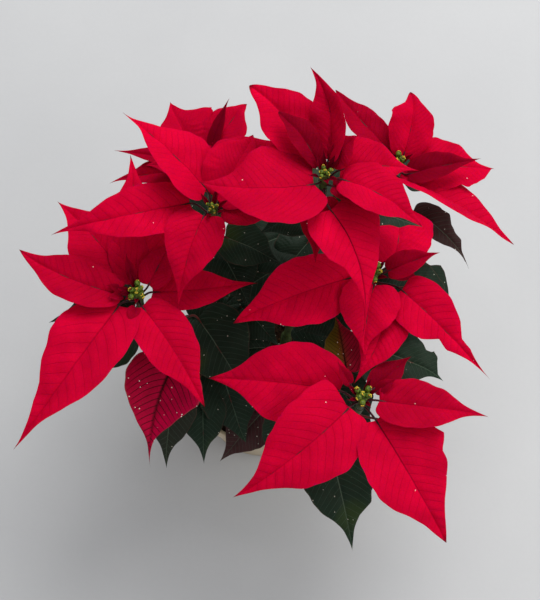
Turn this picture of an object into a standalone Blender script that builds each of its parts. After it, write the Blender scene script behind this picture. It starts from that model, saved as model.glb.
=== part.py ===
"""A potted poinsettia with seven red bract heads, built at real size.

Three leafy stems stand in plain holes in the potting mix of a round pot. Each stem forks into
branches, and each branch ends in a head of red bracts round a small cluster of cyathia, the true
flowers. Every leaf blade follows one midrib curve and one outline formula.

Tables are in millimetres and degrees. The origin is the middle of the pot's foot, +Z is up.
"""

import math
from collections import namedtuple

import bmesh
import bpy
import numpy as np
from mathutils import Matrix

MM = 0.001
UP = np.array([0.0, 0.0, 1.0])
FIT_GAP = 0.3

# Pot and potting mix

POT_HEIGHT = 130.0
POT_TOP_RADIUS = 75.0
POT_FOOT_RADIUS = 54.0
POT_WALL = 2.6
POT_FLOOR = 3.5
RIM_HEIGHT = 22.0
RIM_STEP = 3.0
FOOT_GROOVE_OUT = 45.0
FOOT_GROOVE_IN = 16.0
FOOT_RECESS = 1.5
DRAIN_COUNT = 4
DRAIN_RADIUS = 5.0
DRAIN_CIRCLE = 30.0
SOIL_LEVEL = 116.0
SOIL_MOUND = 5.0
SOIL_BUMP = 1.1
POT_SIDES = 36
SOIL_RINGS = (0.25, 0.5, 0.75, 0.92)
SOIL_EDGE = 1.0
STEM_DEPTH = 34.0

# Blades, stalks and branches

BLADE_THICK = 0.8
SMALL_WIDTH = 16
BROAD_WIDTH = 45
OUTLINE_BASE = 0.54
TOOTH_HALF = 0.10
LOBE = 0.1
LOBE_AT = 0.05
PINCH = 0.4
PINCH_FROM = 0.55
PINCH_SPAN = 0.3
CUPPING = 0.35
END_CROWDING = 0.05
WAVE = 0.022
WAVE_COUNT = 2.2
STALK_RADIUS = 1.25
SMALL_STALK_RADIUS = 0.7
STALK_SINK = 9.0
HUB_RADIUS = 4.2
HUB_FOOT_RADIUS = 3.4
HUB_LENGTH = 26.0
HUB_TOP = 2.0
STEM_RADIUS = 5.0
BRANCH_RADIUS = 3.6
BRANCH_STEPS = 5
FORK_SINK = 3.0
BRANCH_END = 5.0

# Cyathia

PAD_HEIGHT = 2.6
PAD_RADIUS = 5.0
PAD_FOOT_RADIUS = 3.8
CUP_RADIUS = 2.5
CUP_HEIGHT = 6.0
CUP_SIDES = 5
CUP_LIFT = 2.5
CUP_SPACING = 2.5
CUP_LEAN = 4.5
CUP_COUNT = 6
GOLDEN_ANGLE = 137.508

# One blade. toward is the compass direction of its tip from the head's axis, counterclockwise from
# +X; reach and rise place the tip, outwards and upwards from the head. arch lifts the middle of the
# midrib above its chord and sway bows it to the left. fold raises both halves of the blade from the
# midrib, roll lifts the left half. stalk is how far out the blade starts, turned by stalk_turn and
# lowered by stalk_drop. teeth are (side, place along the blade, size) with +1 for the left side.
# taper shapes the outline's outer part: 1 is full nearly to the tip, 2 has a long narrow tip.
Leaf = namedtuple(
    "Leaf",
    "toward reach rise arch width fold roll sway stalk stalk_turn stalk_drop teeth taper",
    defaults=((), 1.4),
)

# One head of bracts: its axis point and its bracts, from the large lower ones to the small ones
# beside the cyathia. turning are its lowest ones, which are still partly green, and growth is the
# size of its cyathia, with 1 for full-grown ones.
Bloom = namedtuple("Bloom", "name head bracts turning growth", defaults=((), 1.0))

# One leafy stem: where it stands, where it forks, and for each head that it carries the green
# leaves of that branch as (place along the branch, leaf). A green leaf is measured from its place
# on the branch in the way that a bract is measured from its head.
Stem = namedtuple("Stem", "name foot fork branches")

BLOOMS = [
    Bloom(
        "top",
        (48, 77, 375),
        [
            Leaf(185, 97, -1, 8, 76, 14, 10, 7, 11, 38, 5, ((-1, 0.2, 0.1),), 1.28),
            Leaf(130, 90, 13, 6, 47, 20, -14, -2, 15, -30, 10, (), 0.72),
            Leaf(133, 54, 23, 4, 25, 24, 4, -3, 9, -16, 4, (), 0.65),
            Leaf(99, 74, 35, 5, 38, 26, -40, -8, 13, -24, 3, (), 1.3),
            Leaf(45, 36, 15, 3, 28, 15, 0, 0, 13, 20, 3),
            Leaf(10, 80, -30, 11, 50, 16, 6, 0, 15, 20, 11, (), 2.0),
            Leaf(-26, 84, -22, 10, 43, 20, -6, 2, 15, 8, 3, (), 1.05),
            Leaf(-76, 125, -53, 8, 64, 12, -18, 11, 23, -1, 20, ((-1, 0.36, 0.15),), 2.95),
            Leaf(-22, 36, -25, 3, 20, 18, 0, 0, 9, -18, 12),
            Leaf(-97, 60, -38, 4, 34, 14, 0, 0, 9, 0, 27),
            Leaf(62, 30, 20, 1, 8, 15, 0, 0, 12, 0, 2),
        ],
        growth=0.7,
    ),
    Bloom(
        "upper_left",
        (-39, 61, 345),
        [
            Leaf(135, 101, 23, 7, 56, 22, 20, -1, 18, -28, 2, (), 1.75),
            Leaf(60, 67, 10, 7, 50, 15, 0, 0, 14, 0, 3, (), 1.0),
            Leaf(41, 84, 2, 7, 58, 15, 0, 4, 12, 40, 5, (), 1.2),
            Leaf(-112, 77, -38, 14, 50, 14, 7, -1, 9, -26, 3, (), 1.63),
            Leaf(186, 130, -19, 12, 45, 20, -10, 4, 20, -28, 9),
            Leaf(-1, 60, -9, 3, 32, 10, 0, 0, 9, 20, 7),
            Leaf(15, 62, -20, 4, 34, 12, 0, 0, 9, 10, 16),
        ],
        growth=0.6,
    ),
    Bloom(
        "left",
        (-100, 7, 300),
        [
            Leaf(161, 102, 6, 6, 38, 16, -8, 6, 14, 25, 2, (), 0.95),
            Leaf(231, 156, -38, 14, 69, 14, 12, 3, 18, -20, 8, ((-1, 0.62, -0.1),), 1.48),
            Leaf(-59, 106, -18, 10, 46, 16, 0, 2, 12, -12, 4, (), 1.05),
            Leaf(8, 98, -12, 6, 36, 12, 0, -4, 12, 5, 8),
            Leaf(57, 54, 4, 3, 28, 15, 0, 0, 11, -20, 2),
            Leaf(94, 127, -8, 8, 50, 15, 0, 0, 10, -8, 5),
            Leaf(131, 105, 0, 5, 64, 14, 0, -3, 13, 0, 4),
            Leaf(109, 27, 20, 1, 9, 20, 0, 0, 12, 0, 2),
            Leaf(-104, 27, 0, 1, 11, 10, 0, 0, 12, 10, 3),
            Leaf(172, 25, 8, 1, 8, 15, 0, 0, 12, 0, 3),
            Leaf(196, 25, 5, 1, 8, 15, 0, 0, 12, 0, 1),
        ],
        [Leaf(-87, 126, -74, 8, 68, 14, 0, -4, 60, 24, 32, (), 2.2)],
    ),
    Bloom(
        "front_right",
        (79, -77, 290),
        [
            Leaf(171, 124, -16, 12, 70, 16, -20, 1, 19, -16, 13, (), 1.2),
            Leaf(217, 127, -28, 10, 69, 12, -14, 5, 14, 4, 2, ((-1, 0.14, 0.12), (-1, 0.05, 0.25)), 1.33),
            Leaf(-58, 127, -44, 12, 66, 14, 0, -1, 21, 0, 8, ((1, 0.33, 0.28), (1, 0.22, 0.1)), 0.95),
            Leaf(-8, 101, -4, 7, 42, 18, 0, -2, 14, -5, 2),
            Leaf(130, 32, 14, 1, 11, 15, 0, 0, 14, 0, 3),
            Leaf(43, 57, -15, 3, 24, 15, 0, 0, 13, 0, 12),
            Leaf(23, 30, 10, 1, 11, 15, 0, 0, 13, 0, 3),
        ],
        [Leaf(103, 80, -28, 5, 34, 14, 0, 0, 30, 7, 26)],
    ),
    Bloom(
        "right",
        (89, 21, 305),
        [
            Leaf(197, 118, -19, 10, 58, 16, -12, 1, 17, -16, 9, (), 1.0),
            Leaf(-97, 67, -17, 6, 50, 12, 0, -2, 8, 16, 6),
            Leaf(-101, 85, -31, 6, 42, 12, 0, 6, 22, 45, 15),
            Leaf(-39, 123, -41, 14, 46, 14, 12, -2, 26, 14, 9, ((-1, 0.5, -0.28), (1, 0.62, -0.2)), 1.9),
            Leaf(14, 55, 13, 3, 24, 26, 10, 0, 13, 0, 3),
            Leaf(73, 74, -14, 3, 56, 10, 0, -4, 21, -37, 8, (), 0.7),
            Leaf(2, 40, -19, 2, 18, 12, 0, 0, 18, 30, 13),
        ],
    ),
    Bloom(
        "back_right",
        (112, 121, 300),
        [
            Leaf(127, 84, 2, 5, 28, 14, 0, 3, 8, -39, 5, (), 0.85),
            Leaf(77, 57, 20, 4, 39, 14, 8, -3, 10, -22, 3, ((1, 0.64, 0.15), (1, 0.72, 0.24)), 0.75),
            Leaf(-3, 68, 14, 4, 28, 24, 0, 0, 13, -40, 3),
            Leaf(0, 83, -14, 5, 50, 10, 0, 0, 13, 0, 8, ((-1, 0.66, 0.3), (-1, 0.76, 0.36), (-1, 0.86, 0.3))),
            Leaf(-33, 116, -28, 11, 48, 28, -34, 1, 11, -46, 6, (), 0.93),
            Leaf(220, 48, -18, 4, 32, 14, 0, 0, 9, 0, 10),
        ],
    ),
    Bloom(
        "back_left",
        (-49, 129, 288),
        [
            Leaf(120, 61, 4, 5, 50, 12, 0, 0, 14, 13, 4, ((-1, 0.44, 0.22), (-1, 0.52, 0.34), (-1, 0.6, 0.2))),
            Leaf(66, 53, 22, 2, 12, 20, 0, 0, 13, 0, 3),
            Leaf(56, 62, 6, 4, 38, 14, 0, 0, 13, 0, 3, (), 0.9),
            Leaf(176, 75, 8, 3, 18, 24, 0, 0, 13, 10, 3),
            Leaf(191, 81, -8, 4, 26, 18, 0, 0, 14, 26, 2),
            Leaf(198, 50, 24, 3, 28, 24, 0, 0, 15, 16, 0),
        ],
    ),
]

STEMS = [
    Stem(
        "left",
        (-20, 12),
        (-24, 16, 150),
        {
            "upper_left": [
                (0.36, Leaf(-42, 62, -8, 8, 48, 12, 0, 0, 14, 10, -4)),
                (0.62, Leaf(95, 104, 2, 10, 50, 12, 0, 0, 42, 10, -8)),
                (0.30, Leaf(-144, 78, -34, 8, 44, 12, 0, 0, 26, 10, 8)),
                (0.84, Leaf(-62, 62, -14, 6, 50, 12, 0, 0, 9, 0, 0)),
                (0.92, Leaf(-22, 60, -14, 5, 42, 12, 0, 0, 9, 0, 0)),
            ],
            "left": [
                (0.55, Leaf(-41, 90, -22, 9, 66, 12, 0, 0, 24, 50, -14)),
                (0.25, Leaf(-69, 96, -30, 8, 56, 12, 0, 0, 36, 1, -7, (), 1.05)),
                (0.30, Leaf(-88, 107, -40, 7, 42, 14, 0, 0, 52, 2, 4)),
                (0.60, Leaf(-91, 111, -60, 8, 46, 12, 0, 0, 48, 11, 14)),
                (0.40, Leaf(-159, 104, -8, 8, 46, 12, 0, 0, 50, -14, -14)),
                (0.88, Leaf(184, 82, -4, 6, 50, 12, 0, 0, 9, -10, -4)),
                (0.70, Leaf(150, 92, -24, 8, 46, 12, 0, 0, 34, 0, 0)),
                (0.45, Leaf(24, 62, 4, 7, 44, 12, 0, 0, 12, 0, -12)),
            ],
            "back_left": [
                (0.40, Leaf(160, 98, -18, 8, 50, 12, 0, 0, 36, 0, -4)),
                (0.20, Leaf(134, 88, -30, 8, 48, 12, 0, 0, 34, 0, 0)),
                (0.60, Leaf(105, 92, -30, 8, 48, 12, 0, 0, 34, 0, 0)),
                (0.75, Leaf(40, 84, -26, 8, 44, 12, 0, 0, 32, 0, 0)),
            ],
        },
    ),
    Stem(
        "right",
        (21, 14),
        (22, 20, 152),
        {
            "top": [
                (0.62, Leaf(197, 85, 2, 8, 60, 12, 0, 0, 24, -26, -14)),
                (0.45, Leaf(201, 78, -12, 8, 56, 12, 0, 0, 12, -80, -8)),
                (0.75, Leaf(110, 88, -20, 8, 46, 12, 0, 0, 32, 0, 0)),
                (0.28, Leaf(78, 92, -20, 8, 50, 12, 0, 0, 34, 0, 0)),
                (0.75, Leaf(1, 88, -23, 6, 40, 12, 0, 0, 27, -3, -5)),
                (0.70, Leaf(-128, 56, -14, 6, 46, 12, 0, 0, 8, 0, 0)),
                (0.90, Leaf(-156, 54, -10, 5, 42, 12, 0, 0, 9, 0, 0)),
                (0.95, Leaf(-14, 84, -14, 4, 32, 12, 0, 0, 9, 0, 0, ((-1, 0.75, 0.2),))),
            ],
            "back_right": [
                (0.35, Leaf(-23, 111, 0, 8, 56, 12, 0, 3, 50, 9, -8, ((1, 0.5, 0.15),), 0.7)),
                (0.55, Leaf(112, 96, -22, 8, 50, 12, 0, 0, 36, 0, -4)),
                (0.75, Leaf(50, 86, -34, 8, 46, 12, 0, 0, 32, 0, 0)),
                (0.80, Leaf(-38, 93, -12, 12, 30, 14, 0, 1, 28, 2, -14, ((1, 0.4, 0.2), (1, 0.7, 0.2)), 1.8)),
            ],
        },
    ),
    Stem(
        "front",
        (2, -23),
        (6, -24, 146),
        {
            "right": [
                (0.50, Leaf(-24, 104, 4, 8, 52, 12, 0, 0, 42, -5, -16, ((1, 0.72, 0.24), (1, 0.8, 0.3)))),
                (0.72, Leaf(-8, 86, -12, 8, 56, 12, 0, 0, 42, 36, -14)),
                (0.30, Leaf(-50, 92, -20, 8, 44, 12, 0, 0, 32, 0, -4, ((1, 0.55, 0.15),))),
                (0.16, Leaf(4, 88, -22, 8, 46, 12, 0, 0, 34, 0, -4)),
                (0.35, Leaf(-12, 40, 24, 6, 46, 12, 0, 0, 22, 140, -24)),
                (0.80, Leaf(-158, 62, -12, 6, 44, 12, 0, 0, 12, 0, -2)),
                (0.95, Leaf(12, 56, -16, 4, 38, 12, 0, 0, 9, 0, 0)),
                (0.90, Leaf(152, 44, -6, 4, 36, 12, 0, 0, 9, 0, 0)),
            ],
            "front_right": [
                (0.30, Leaf(160, 98, 12, 8, 50, 12, 0, 0, 52, -36, -16)),
                (0.15, Leaf(-138, 79, -43, 6, 46, 12, 0, 0, 24, -5, 6)),
                (0.60, Leaf(-83, 114, -28, 9, 62, 12, 0, 0, 34, -18, -10, ((1, 0.6, 0.14),), 1.45)),
                (0.45, Leaf(-132, 72, -20, 7, 50, 12, 0, 0, 22, -14, -8)),
                (0.72, Leaf(-12, 80, -30, 8, 44, 12, 0, 0, 32, 0, 0)),
            ],
        },
    ),
]


def polar(radius, degrees, height=0.0):
    """The point this far out in a compass direction, at a height."""
    angle = math.radians(degrees)
    return np.array([radius * math.cos(angle), radius * math.sin(angle), height])


def unit(vector):
    return vector / np.linalg.norm(vector)


def midrib(leaf, head, t):
    """A point of the blade's midrib, t from 0 at its base to 1 at its tip, and the direction there."""
    head = np.array(head, float)
    base = head + polar(leaf.stalk, leaf.toward + leaf.stalk_turn, -leaf.stalk_drop)
    tip = head + polar(leaf.reach, leaf.toward, leaf.rise)
    left = unit(np.cross(UP, tip - base))
    bend = (base + tip) / 2 + 2 * leaf.arch * UP + 2 * leaf.sway * left
    point = (1 - t) ** 2 * base + 2 * t * (1 - t) * bend + t**2 * tip
    along = (1 - t) * (bend - base) + t * (tip - bend)
    return point, unit(along)


def half_width(leaf, u, side):
    """The blade's half width at u, from 0 at the base to 1 at the drawn-out tip."""
    peak = OUTLINE_BASE / (OUTLINE_BASE + leaf.taper)
    highest = peak**OUTLINE_BASE * (1 - peak) ** leaf.taper
    shape = max(u, 0.0) ** OUTLINE_BASE * max(1 - u, 0.0) ** leaf.taper / highest
    drawn = min(max((u - PINCH_FROM) / PINCH_SPAN, 0.0), 1.0)
    shape *= 1 - PINCH * drawn * drawn * (3 - 2 * drawn)
    for tooth_side, place, size in leaf.teeth:
        if tooth_side == side:
            shape += size * max(0.0, 1 - abs(u - place) / TOOTH_HALF)
    return leaf.width / 2 * shape


def blade_point(leaf, head, u, v):
    """A point of the blade, v from -1 at the right edge to 1 at the left one."""
    point, along = midrib(leaf, head, u)
    left = unit(np.cross(UP, along))
    normal = np.cross(along, left)
    roll = math.radians(leaf.roll)
    side = left * math.cos(roll) + normal * math.sin(roll)
    out = normal * math.cos(roll) - left * math.sin(roll)
    fold = math.radians(leaf.fold)
    half = half_width(leaf, u, 1 if v > 0 else -1)
    wave = WAVE * leaf.width * math.sin(2 * math.pi * (WAVE_COUNT * u + leaf.toward / 90))
    flat = half * v * math.cos(fold)
    lift = half * math.sin(fold) * (abs(v) - CUPPING * v * v) + wave * v * v * 4 * u * (1 - u)
    back = LOBE * leaf.width * abs(v) * u / LOBE_AT * math.exp(1 - u / LOBE_AT)
    return point + side * flat + out * lift - along * back


def stations(leaf, count):
    """Places along the blade where its outline has points, closer together near both ends."""
    steps = [i / count for i in range(count + 1)]
    places = [step - END_CROWDING * math.sin(2 * math.pi * step) for step in steps]
    for _, place, _ in leaf.teeth:
        nearest = min(range(1, count), key=lambda i: abs(places[i] - place))
        places[nearest] = place
    return places


def branch_line(fork, head):
    """The branch leaves the fork sideways and comes up straight under its head."""
    start = np.array(fork, float) - UP * FORK_SINK
    end = np.array(head, float) - UP * (HUB_TOP + HUB_LENGTH + FIT_GAP + BRANCH_END)
    span = end - start
    first = start + span * np.array([0.45, 0.45, 0.25])
    second = end - UP * 0.45 * span[2]
    line = []
    for i in range(BRANCH_STEPS + 1):
        t = i / BRANCH_STEPS
        near = (1 - t) ** 3 * start + 3 * t * (1 - t) ** 2 * first
        line.append(near + 3 * t**2 * (1 - t) * second + t**3 * end)
    return line + [end + UP * BRANCH_END]


def on_line(line, place):
    """The point at this share of a line, counted in its equal steps."""
    spot = place * BRANCH_STEPS
    i = int(spot)
    return line[i] + (line[i + 1] - line[i]) * (spot - i)


def link(obj, collection):
    collection.objects.link(obj)
    return obj


def new_collection(name, hidden=False):
    found = bpy.data.collections.new(name)
    bpy.context.scene.collection.children.link(found)
    found.hide_render = hidden
    return found


def mesh_object(name, bm, collection):
    """An object that holds this bmesh, given in millimetres."""
    bmesh.ops.scale(bm, vec=(MM, MM, MM), verts=bm.verts)
    mesh = bpy.data.meshes.new(name)
    bm.to_mesh(mesh)
    bm.free()
    return link(bpy.data.objects.new(name, mesh), collection)


def evaluated_mesh(obj):
    """The object's mesh with its modifiers applied, or its curve as a mesh."""
    bpy.context.view_layer.update()
    evaluated = obj.evaluated_get(bpy.context.evaluated_depsgraph_get())
    return bpy.data.meshes.new_from_object(evaluated)


def leaf_solid(name, leaf, head, root, across, collection):
    """One leaf or bract with its stalk: a grid bent to its form, in triangles, and thickened.

    The first two rows of the grid are the stalk, from its root to the blade's base."""
    count = 4 if leaf.width < SMALL_WIDTH else 6
    places = stations(leaf, count)
    base, _ = midrib(leaf, head, 0)
    stalk_left = unit(np.cross(UP, base - root)) * stalk_radius(leaf)
    bm = bmesh.new()
    bmesh.ops.create_grid(bm, x_segments=count + 1, y_segments=across, size=0.5)
    weights = bm.verts.layers.deform.verify()
    for vert in bm.verts:
        row = round((vert.co.x + 0.5) * (count + 1))
        v = 2 * vert.co.y
        if row < 2:
            vert.co = (root, base)[row] + stalk_left * v
            vert[weights][0] = 1
        else:
            vert.co = blade_point(leaf, head, places[row - 1], v)
            vert[weights][0] = BLADE_THICK / (2 * stalk_radius(leaf))
    bmesh.ops.remove_doubles(bm, verts=bm.verts, dist=0.02)
    bmesh.ops.triangulate(bm, faces=bm.faces)
    obj = mesh_object(name, bm, collection)
    obj.vertex_groups.new(name="thickness")
    solid = obj.modifiers.new("thickness", "SOLIDIFY")
    solid.thickness = 2 * stalk_radius(leaf) * MM
    solid.offset = 0
    solid.vertex_group = "thickness"
    return obj


def stalk_radius(leaf):
    return STALK_RADIUS if leaf.width > SMALL_WIDTH else SMALL_STALK_RADIUS


def tube(name, points, radius, collection):
    """A round tube through these points, made a mesh so that it can be joined."""
    curve = bpy.data.curves.new(name, "CURVE")
    curve.dimensions = "3D"
    curve.bevel_depth = radius * MM
    curve.bevel_resolution = 1
    curve.use_fill_caps = True
    spline = curve.splines.new("POLY")
    spline.points.add(len(points) - 1)
    for spot, point in zip(spline.points, points):
        spot.co = (*(np.array(point) * MM), 1.0)
    guide = link(bpy.data.objects.new(name + "_line", curve), collection)
    mesh = evaluated_mesh(guide)
    bpy.data.objects.remove(guide)
    bm = bmesh.new()
    bm.from_mesh(mesh)
    bmesh.ops.remove_doubles(bm, verts=bm.verts, dist=0.01 * MM)
    bmesh.ops.recalc_face_normals(bm, faces=bm.faces)
    bm.to_mesh(mesh)
    bm.free()
    return link(bpy.data.objects.new(name, mesh), collection)


def cylinder(name, collection, bottom, height, low_radius, high_radius, sides):
    """A round bar or cone frustum standing on a point."""
    bm = bmesh.new()
    bmesh.ops.create_cone(
        bm,
        cap_ends=True,
        segments=sides,
        radius1=low_radius,
        radius2=high_radius,
        depth=height,
    )
    bmesh.ops.translate(bm, vec=np.array(bottom, float) + UP * height / 2, verts=bm.verts)
    return mesh_object(name, bm, collection)


def turned(name, profile, sides, collection):
    """A solid of revolution from a profile of (radius, height) points that ends on the axis."""
    bm = bmesh.new()
    verts = [bm.verts.new((radius, 0, height)) for radius, height in profile]
    for first, second in zip(verts, verts[1:]):
        bm.edges.new((first, second))
    obj = mesh_object(name, bm, collection)
    screw = obj.modifiers.new("turn", "SCREW")
    screw.angle = 2 * math.pi
    screw.axis = "Z"
    screw.steps = sides
    screw.render_steps = sides
    screw.use_merge_vertices = True
    screw.merge_threshold = 0.00001
    screw.use_smooth_shade = False
    return obj


def boolean(obj, others, operation, solver):
    """Joins or cuts with every object of a collection, applies it and removes them."""
    change = obj.modifiers.new(operation.lower(), "BOOLEAN")
    change.operation = operation
    change.operand_type = "COLLECTION"
    change.collection = others
    change.solver = solver
    mesh = evaluated_mesh(obj)
    obj.modifiers.clear()
    obj.data = mesh
    for other in list(others.objects):
        bpy.data.objects.remove(other)
    bpy.data.collections.remove(others)
    return obj


def bract_head(bloom, plant):
    """One head: its hub with every bract and stalk grown into it."""
    name = "bracts_" + bloom.name
    foot = np.array(bloom.head, float) - UP * (HUB_TOP + HUB_LENGTH)
    core = cylinder(name, plant, foot, HUB_LENGTH, HUB_FOOT_RADIUS, HUB_RADIUS, 8)
    pieces = new_collection(name + "_pieces")
    for i, leaf in enumerate((*bloom.bracts, *bloom.turning)):
        depth = min(STALK_SINK + max(leaf.stalk_drop, 0), HUB_LENGTH - 3)
        root = np.array(bloom.head, float) - UP * depth
        across = 4 if leaf.width > BROAD_WIDTH else 2
        leaf_solid(f"{name}_{i}", leaf, bloom.head, root, across, pieces)
    return boolean(core, pieces, "UNION", "MANIFOLD")


def leafy_stem(stem, plant):
    """One stem with its branches and their green leaves."""
    name = "stem_" + stem.name
    floor = SOIL_LEVEL + SOIL_MOUND - STEM_DEPTH + FIT_GAP
    foot = np.array([*stem.foot, floor])
    fork = np.array(stem.fork, float)
    core = tube(name, [foot, foot + UP * STEM_DEPTH, fork], STEM_RADIUS, plant)
    pieces = new_collection(name + "_pieces")
    heads = {bloom.name: bloom.head for bloom in BLOOMS}
    for branch, leaves in stem.branches.items():
        line = branch_line(fork, heads[branch])
        tube(f"{name}_{branch}", line, BRANCH_RADIUS, pieces)
        for i, (place, leaf) in enumerate(leaves):
            knot = on_line(line, place)
            leaf_solid(f"{name}_{branch}_{i}", leaf, knot, knot, 2, pieces)
    return boolean(core, pieces, "UNION", "MANIFOLD")


def cup(name, bottom, lean, turn, growth, collection):
    """One cyathium: a small barrel-shaped cup, leaning outwards."""
    radius = growth * CUP_RADIUS
    bm = bmesh.new()
    bmesh.ops.create_uvsphere(bm, u_segments=CUP_SIDES, v_segments=4, radius=1)
    bmesh.ops.scale(bm, vec=(radius, radius, growth * CUP_HEIGHT / 2), verts=bm.verts)
    bmesh.ops.translate(bm, vec=UP * growth * CUP_LIFT, verts=bm.verts)
    tilt = Matrix.Rotation(math.radians(lean), 4, "Y")
    spin = Matrix.Rotation(math.radians(turn), 4, "Z")
    bm.transform(Matrix.Translation(bottom) @ spin @ tilt)
    return mesh_object(name, bm, collection)


def cyathia(bloom, plant):
    """The cluster of cyathia on top of a head, set out by the golden angle."""
    name = "cyathia_" + bloom.name
    base = np.array(bloom.head, float) + UP * (FIT_GAP - HUB_TOP)
    foot_radius = bloom.growth * PAD_FOOT_RADIUS
    core = cylinder(name, plant, base, PAD_HEIGHT, foot_radius, bloom.growth * PAD_RADIUS, 8)
    pieces = new_collection(name + "_pieces")
    for i in range(CUP_COUNT):
        out = bloom.growth * CUP_SPACING * math.sqrt(i)
        turn = GOLDEN_ANGLE * i + bloom.head[0]
        bottom = base + polar(out, turn, PAD_HEIGHT * 0.6)
        cup(f"{name}_cup_{i}", bottom, CUP_LEAN * out / bloom.growth, turn, bloom.growth, pieces)
    return boolean(core, pieces, "UNION", "MANIFOLD")


def pot(plant):
    """A plain round pot with a stepped rim, and a groove with drain holes round its foot."""
    shoulder = POT_HEIGHT - RIM_HEIGHT
    profile = [
        (0, FOOT_RECESS + POT_FLOOR),
        (inner_radius(FOOT_RECESS + POT_FLOOR), FOOT_RECESS + POT_FLOOR),
        (inner_radius(POT_HEIGHT), POT_HEIGHT),
        (POT_TOP_RADIUS, POT_HEIGHT),
        (POT_TOP_RADIUS - 1, shoulder),
        (POT_TOP_RADIUS - 1 - RIM_STEP, shoulder),
        (POT_FOOT_RADIUS, 0),
        (FOOT_GROOVE_OUT, 0),
        (FOOT_GROOVE_OUT - 1, FOOT_RECESS),
        (FOOT_GROOVE_IN + 1, FOOT_RECESS),
        (FOOT_GROOVE_IN, 0),
        (0, 0),
    ]
    shell = turned("pot", profile, POT_SIDES, plant)
    drains = new_collection("pot_drain_cutters", hidden=True)
    for i in range(DRAIN_COUNT):
        bottom = polar(DRAIN_CIRCLE, 360 * i / DRAIN_COUNT, FOOT_RECESS - 1)
        cutter(f"drain_{i}", drains, bottom, POT_FLOOR + 2, DRAIN_RADIUS, 12)
    return boolean(shell, drains, "DIFFERENCE", "EXACT")


def inner_radius(height):
    """How far from the axis the pot's inner wall is at a height."""
    taper = (POT_TOP_RADIUS - 1 - RIM_STEP - POT_FOOT_RADIUS) / (POT_HEIGHT - RIM_HEIGHT)
    return POT_FOOT_RADIUS + taper * height - POT_WALL


def cutter(name, collection, bottom, height, radius, sides):
    obj = cylinder(name, collection, bottom, height, radius, radius, sides)
    obj.hide_render = True
    obj.display_type = "WIRE"
    return obj


def soil(plant):
    """The potting mix: a lumpy mound that fills the pot, with a plain hole for each stem."""
    bottom = FOOT_RECESS + POT_FLOOR + FIT_GAP
    radius = inner_radius(SOIL_LEVEL) - FIT_GAP
    top = [(0, SOIL_LEVEL + SOIL_MOUND)]
    for share in SOIL_RINGS:
        top.append((share * radius, SOIL_LEVEL + SOIL_MOUND * (1 - share * share)))
    sides = [
        (radius, SOIL_LEVEL - SOIL_EDGE),
        (inner_radius(bottom) - FIT_GAP, bottom),
        (0, bottom),
    ]
    mound = turned("soil", top + sides, POT_SIDES, plant)
    mesh = evaluated_mesh(mound)
    mound.modifiers.clear()
    mound.data = mesh
    for vert in mesh.vertices:
        x, y, z = vert.co / MM
        if z > SOIL_LEVEL - SOIL_EDGE / 2:
            lump = math.sin(0.31 * x + 1.1) * math.cos(0.27 * y) + math.sin(0.53 * (x + y))
            vert.co.z += SOIL_BUMP * lump * MM
    holes = new_collection("soil_hole_cutters", hidden=True)
    for stem in STEMS:
        bottom = np.array([*stem.foot, SOIL_LEVEL + SOIL_MOUND - STEM_DEPTH])
        cutter(f"hole_{stem.name}", holes, bottom, STEM_DEPTH + 20, STEM_RADIUS + FIT_GAP, 12)
    return boolean(mound, holes, "DIFFERENCE", "EXACT")


def paint(obj, colour, roughness):
    """Gives the object its own plain material."""
    material = bpy.data.materials.new(obj.name)
    material.use_nodes = True
    shader = material.node_tree.nodes["Principled BSDF"]
    shader.inputs["Base Color"].default_value = (*colour, 1)
    shader.inputs["Roughness"].default_value = roughness
    shader.inputs["Metallic"].default_value = 0
    obj.data.materials.clear()
    obj.data.materials.append(material)


def main():
    for obj in list(bpy.data.objects):
        bpy.data.objects.remove(obj)
    plant = new_collection("poinsettia")
    paint(pot(plant), (0.55, 0.44, 0.30), 0.5)
    paint(soil(plant), (0.035, 0.022, 0.014), 0.95)
    for stem in STEMS:
        paint(leafy_stem(stem, plant), (0.018, 0.055, 0.022), 0.5)
    for bloom in BLOOMS:
        paint(bract_head(bloom, plant), (0.58, 0.004, 0.025), 0.5)
        paint(cyathia(bloom, plant), (0.30, 0.36, 0.04), 0.5)


main()
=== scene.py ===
# %% [markdown]
# # A potted poinsettia, dressed over its CAD frame
#
# A poinsettia's red star isn't a flower. It is a ring of bracts, leaves that turned red, round a
# few small green cups called cyathia, which are the true flowers. This lesson loads the CAD model
# of the plant as a fixed frame, then replaces each of its nodes with a finer piece of the same
# form: veined blades, round stalks, open cyathia, a turned pot and crumbly potting mix.
# Each step says what the thing is, how it could be made, and why it is made this way.

import math
from collections import namedtuple

import bpy
import numpy as np
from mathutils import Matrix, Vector, noise


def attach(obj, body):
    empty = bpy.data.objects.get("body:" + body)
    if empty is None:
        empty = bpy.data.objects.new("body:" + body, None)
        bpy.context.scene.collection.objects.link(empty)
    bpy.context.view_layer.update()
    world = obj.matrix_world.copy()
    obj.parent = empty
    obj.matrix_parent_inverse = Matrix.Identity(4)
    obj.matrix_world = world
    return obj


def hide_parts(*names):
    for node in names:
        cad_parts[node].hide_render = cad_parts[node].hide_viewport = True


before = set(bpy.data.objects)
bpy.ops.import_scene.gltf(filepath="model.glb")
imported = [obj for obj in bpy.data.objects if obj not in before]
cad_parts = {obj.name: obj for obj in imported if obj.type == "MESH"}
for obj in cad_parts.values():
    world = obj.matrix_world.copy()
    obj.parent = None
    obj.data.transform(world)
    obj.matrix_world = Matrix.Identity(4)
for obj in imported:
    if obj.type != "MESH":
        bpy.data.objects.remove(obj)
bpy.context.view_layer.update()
print("CAD nodes:", len(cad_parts))

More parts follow.
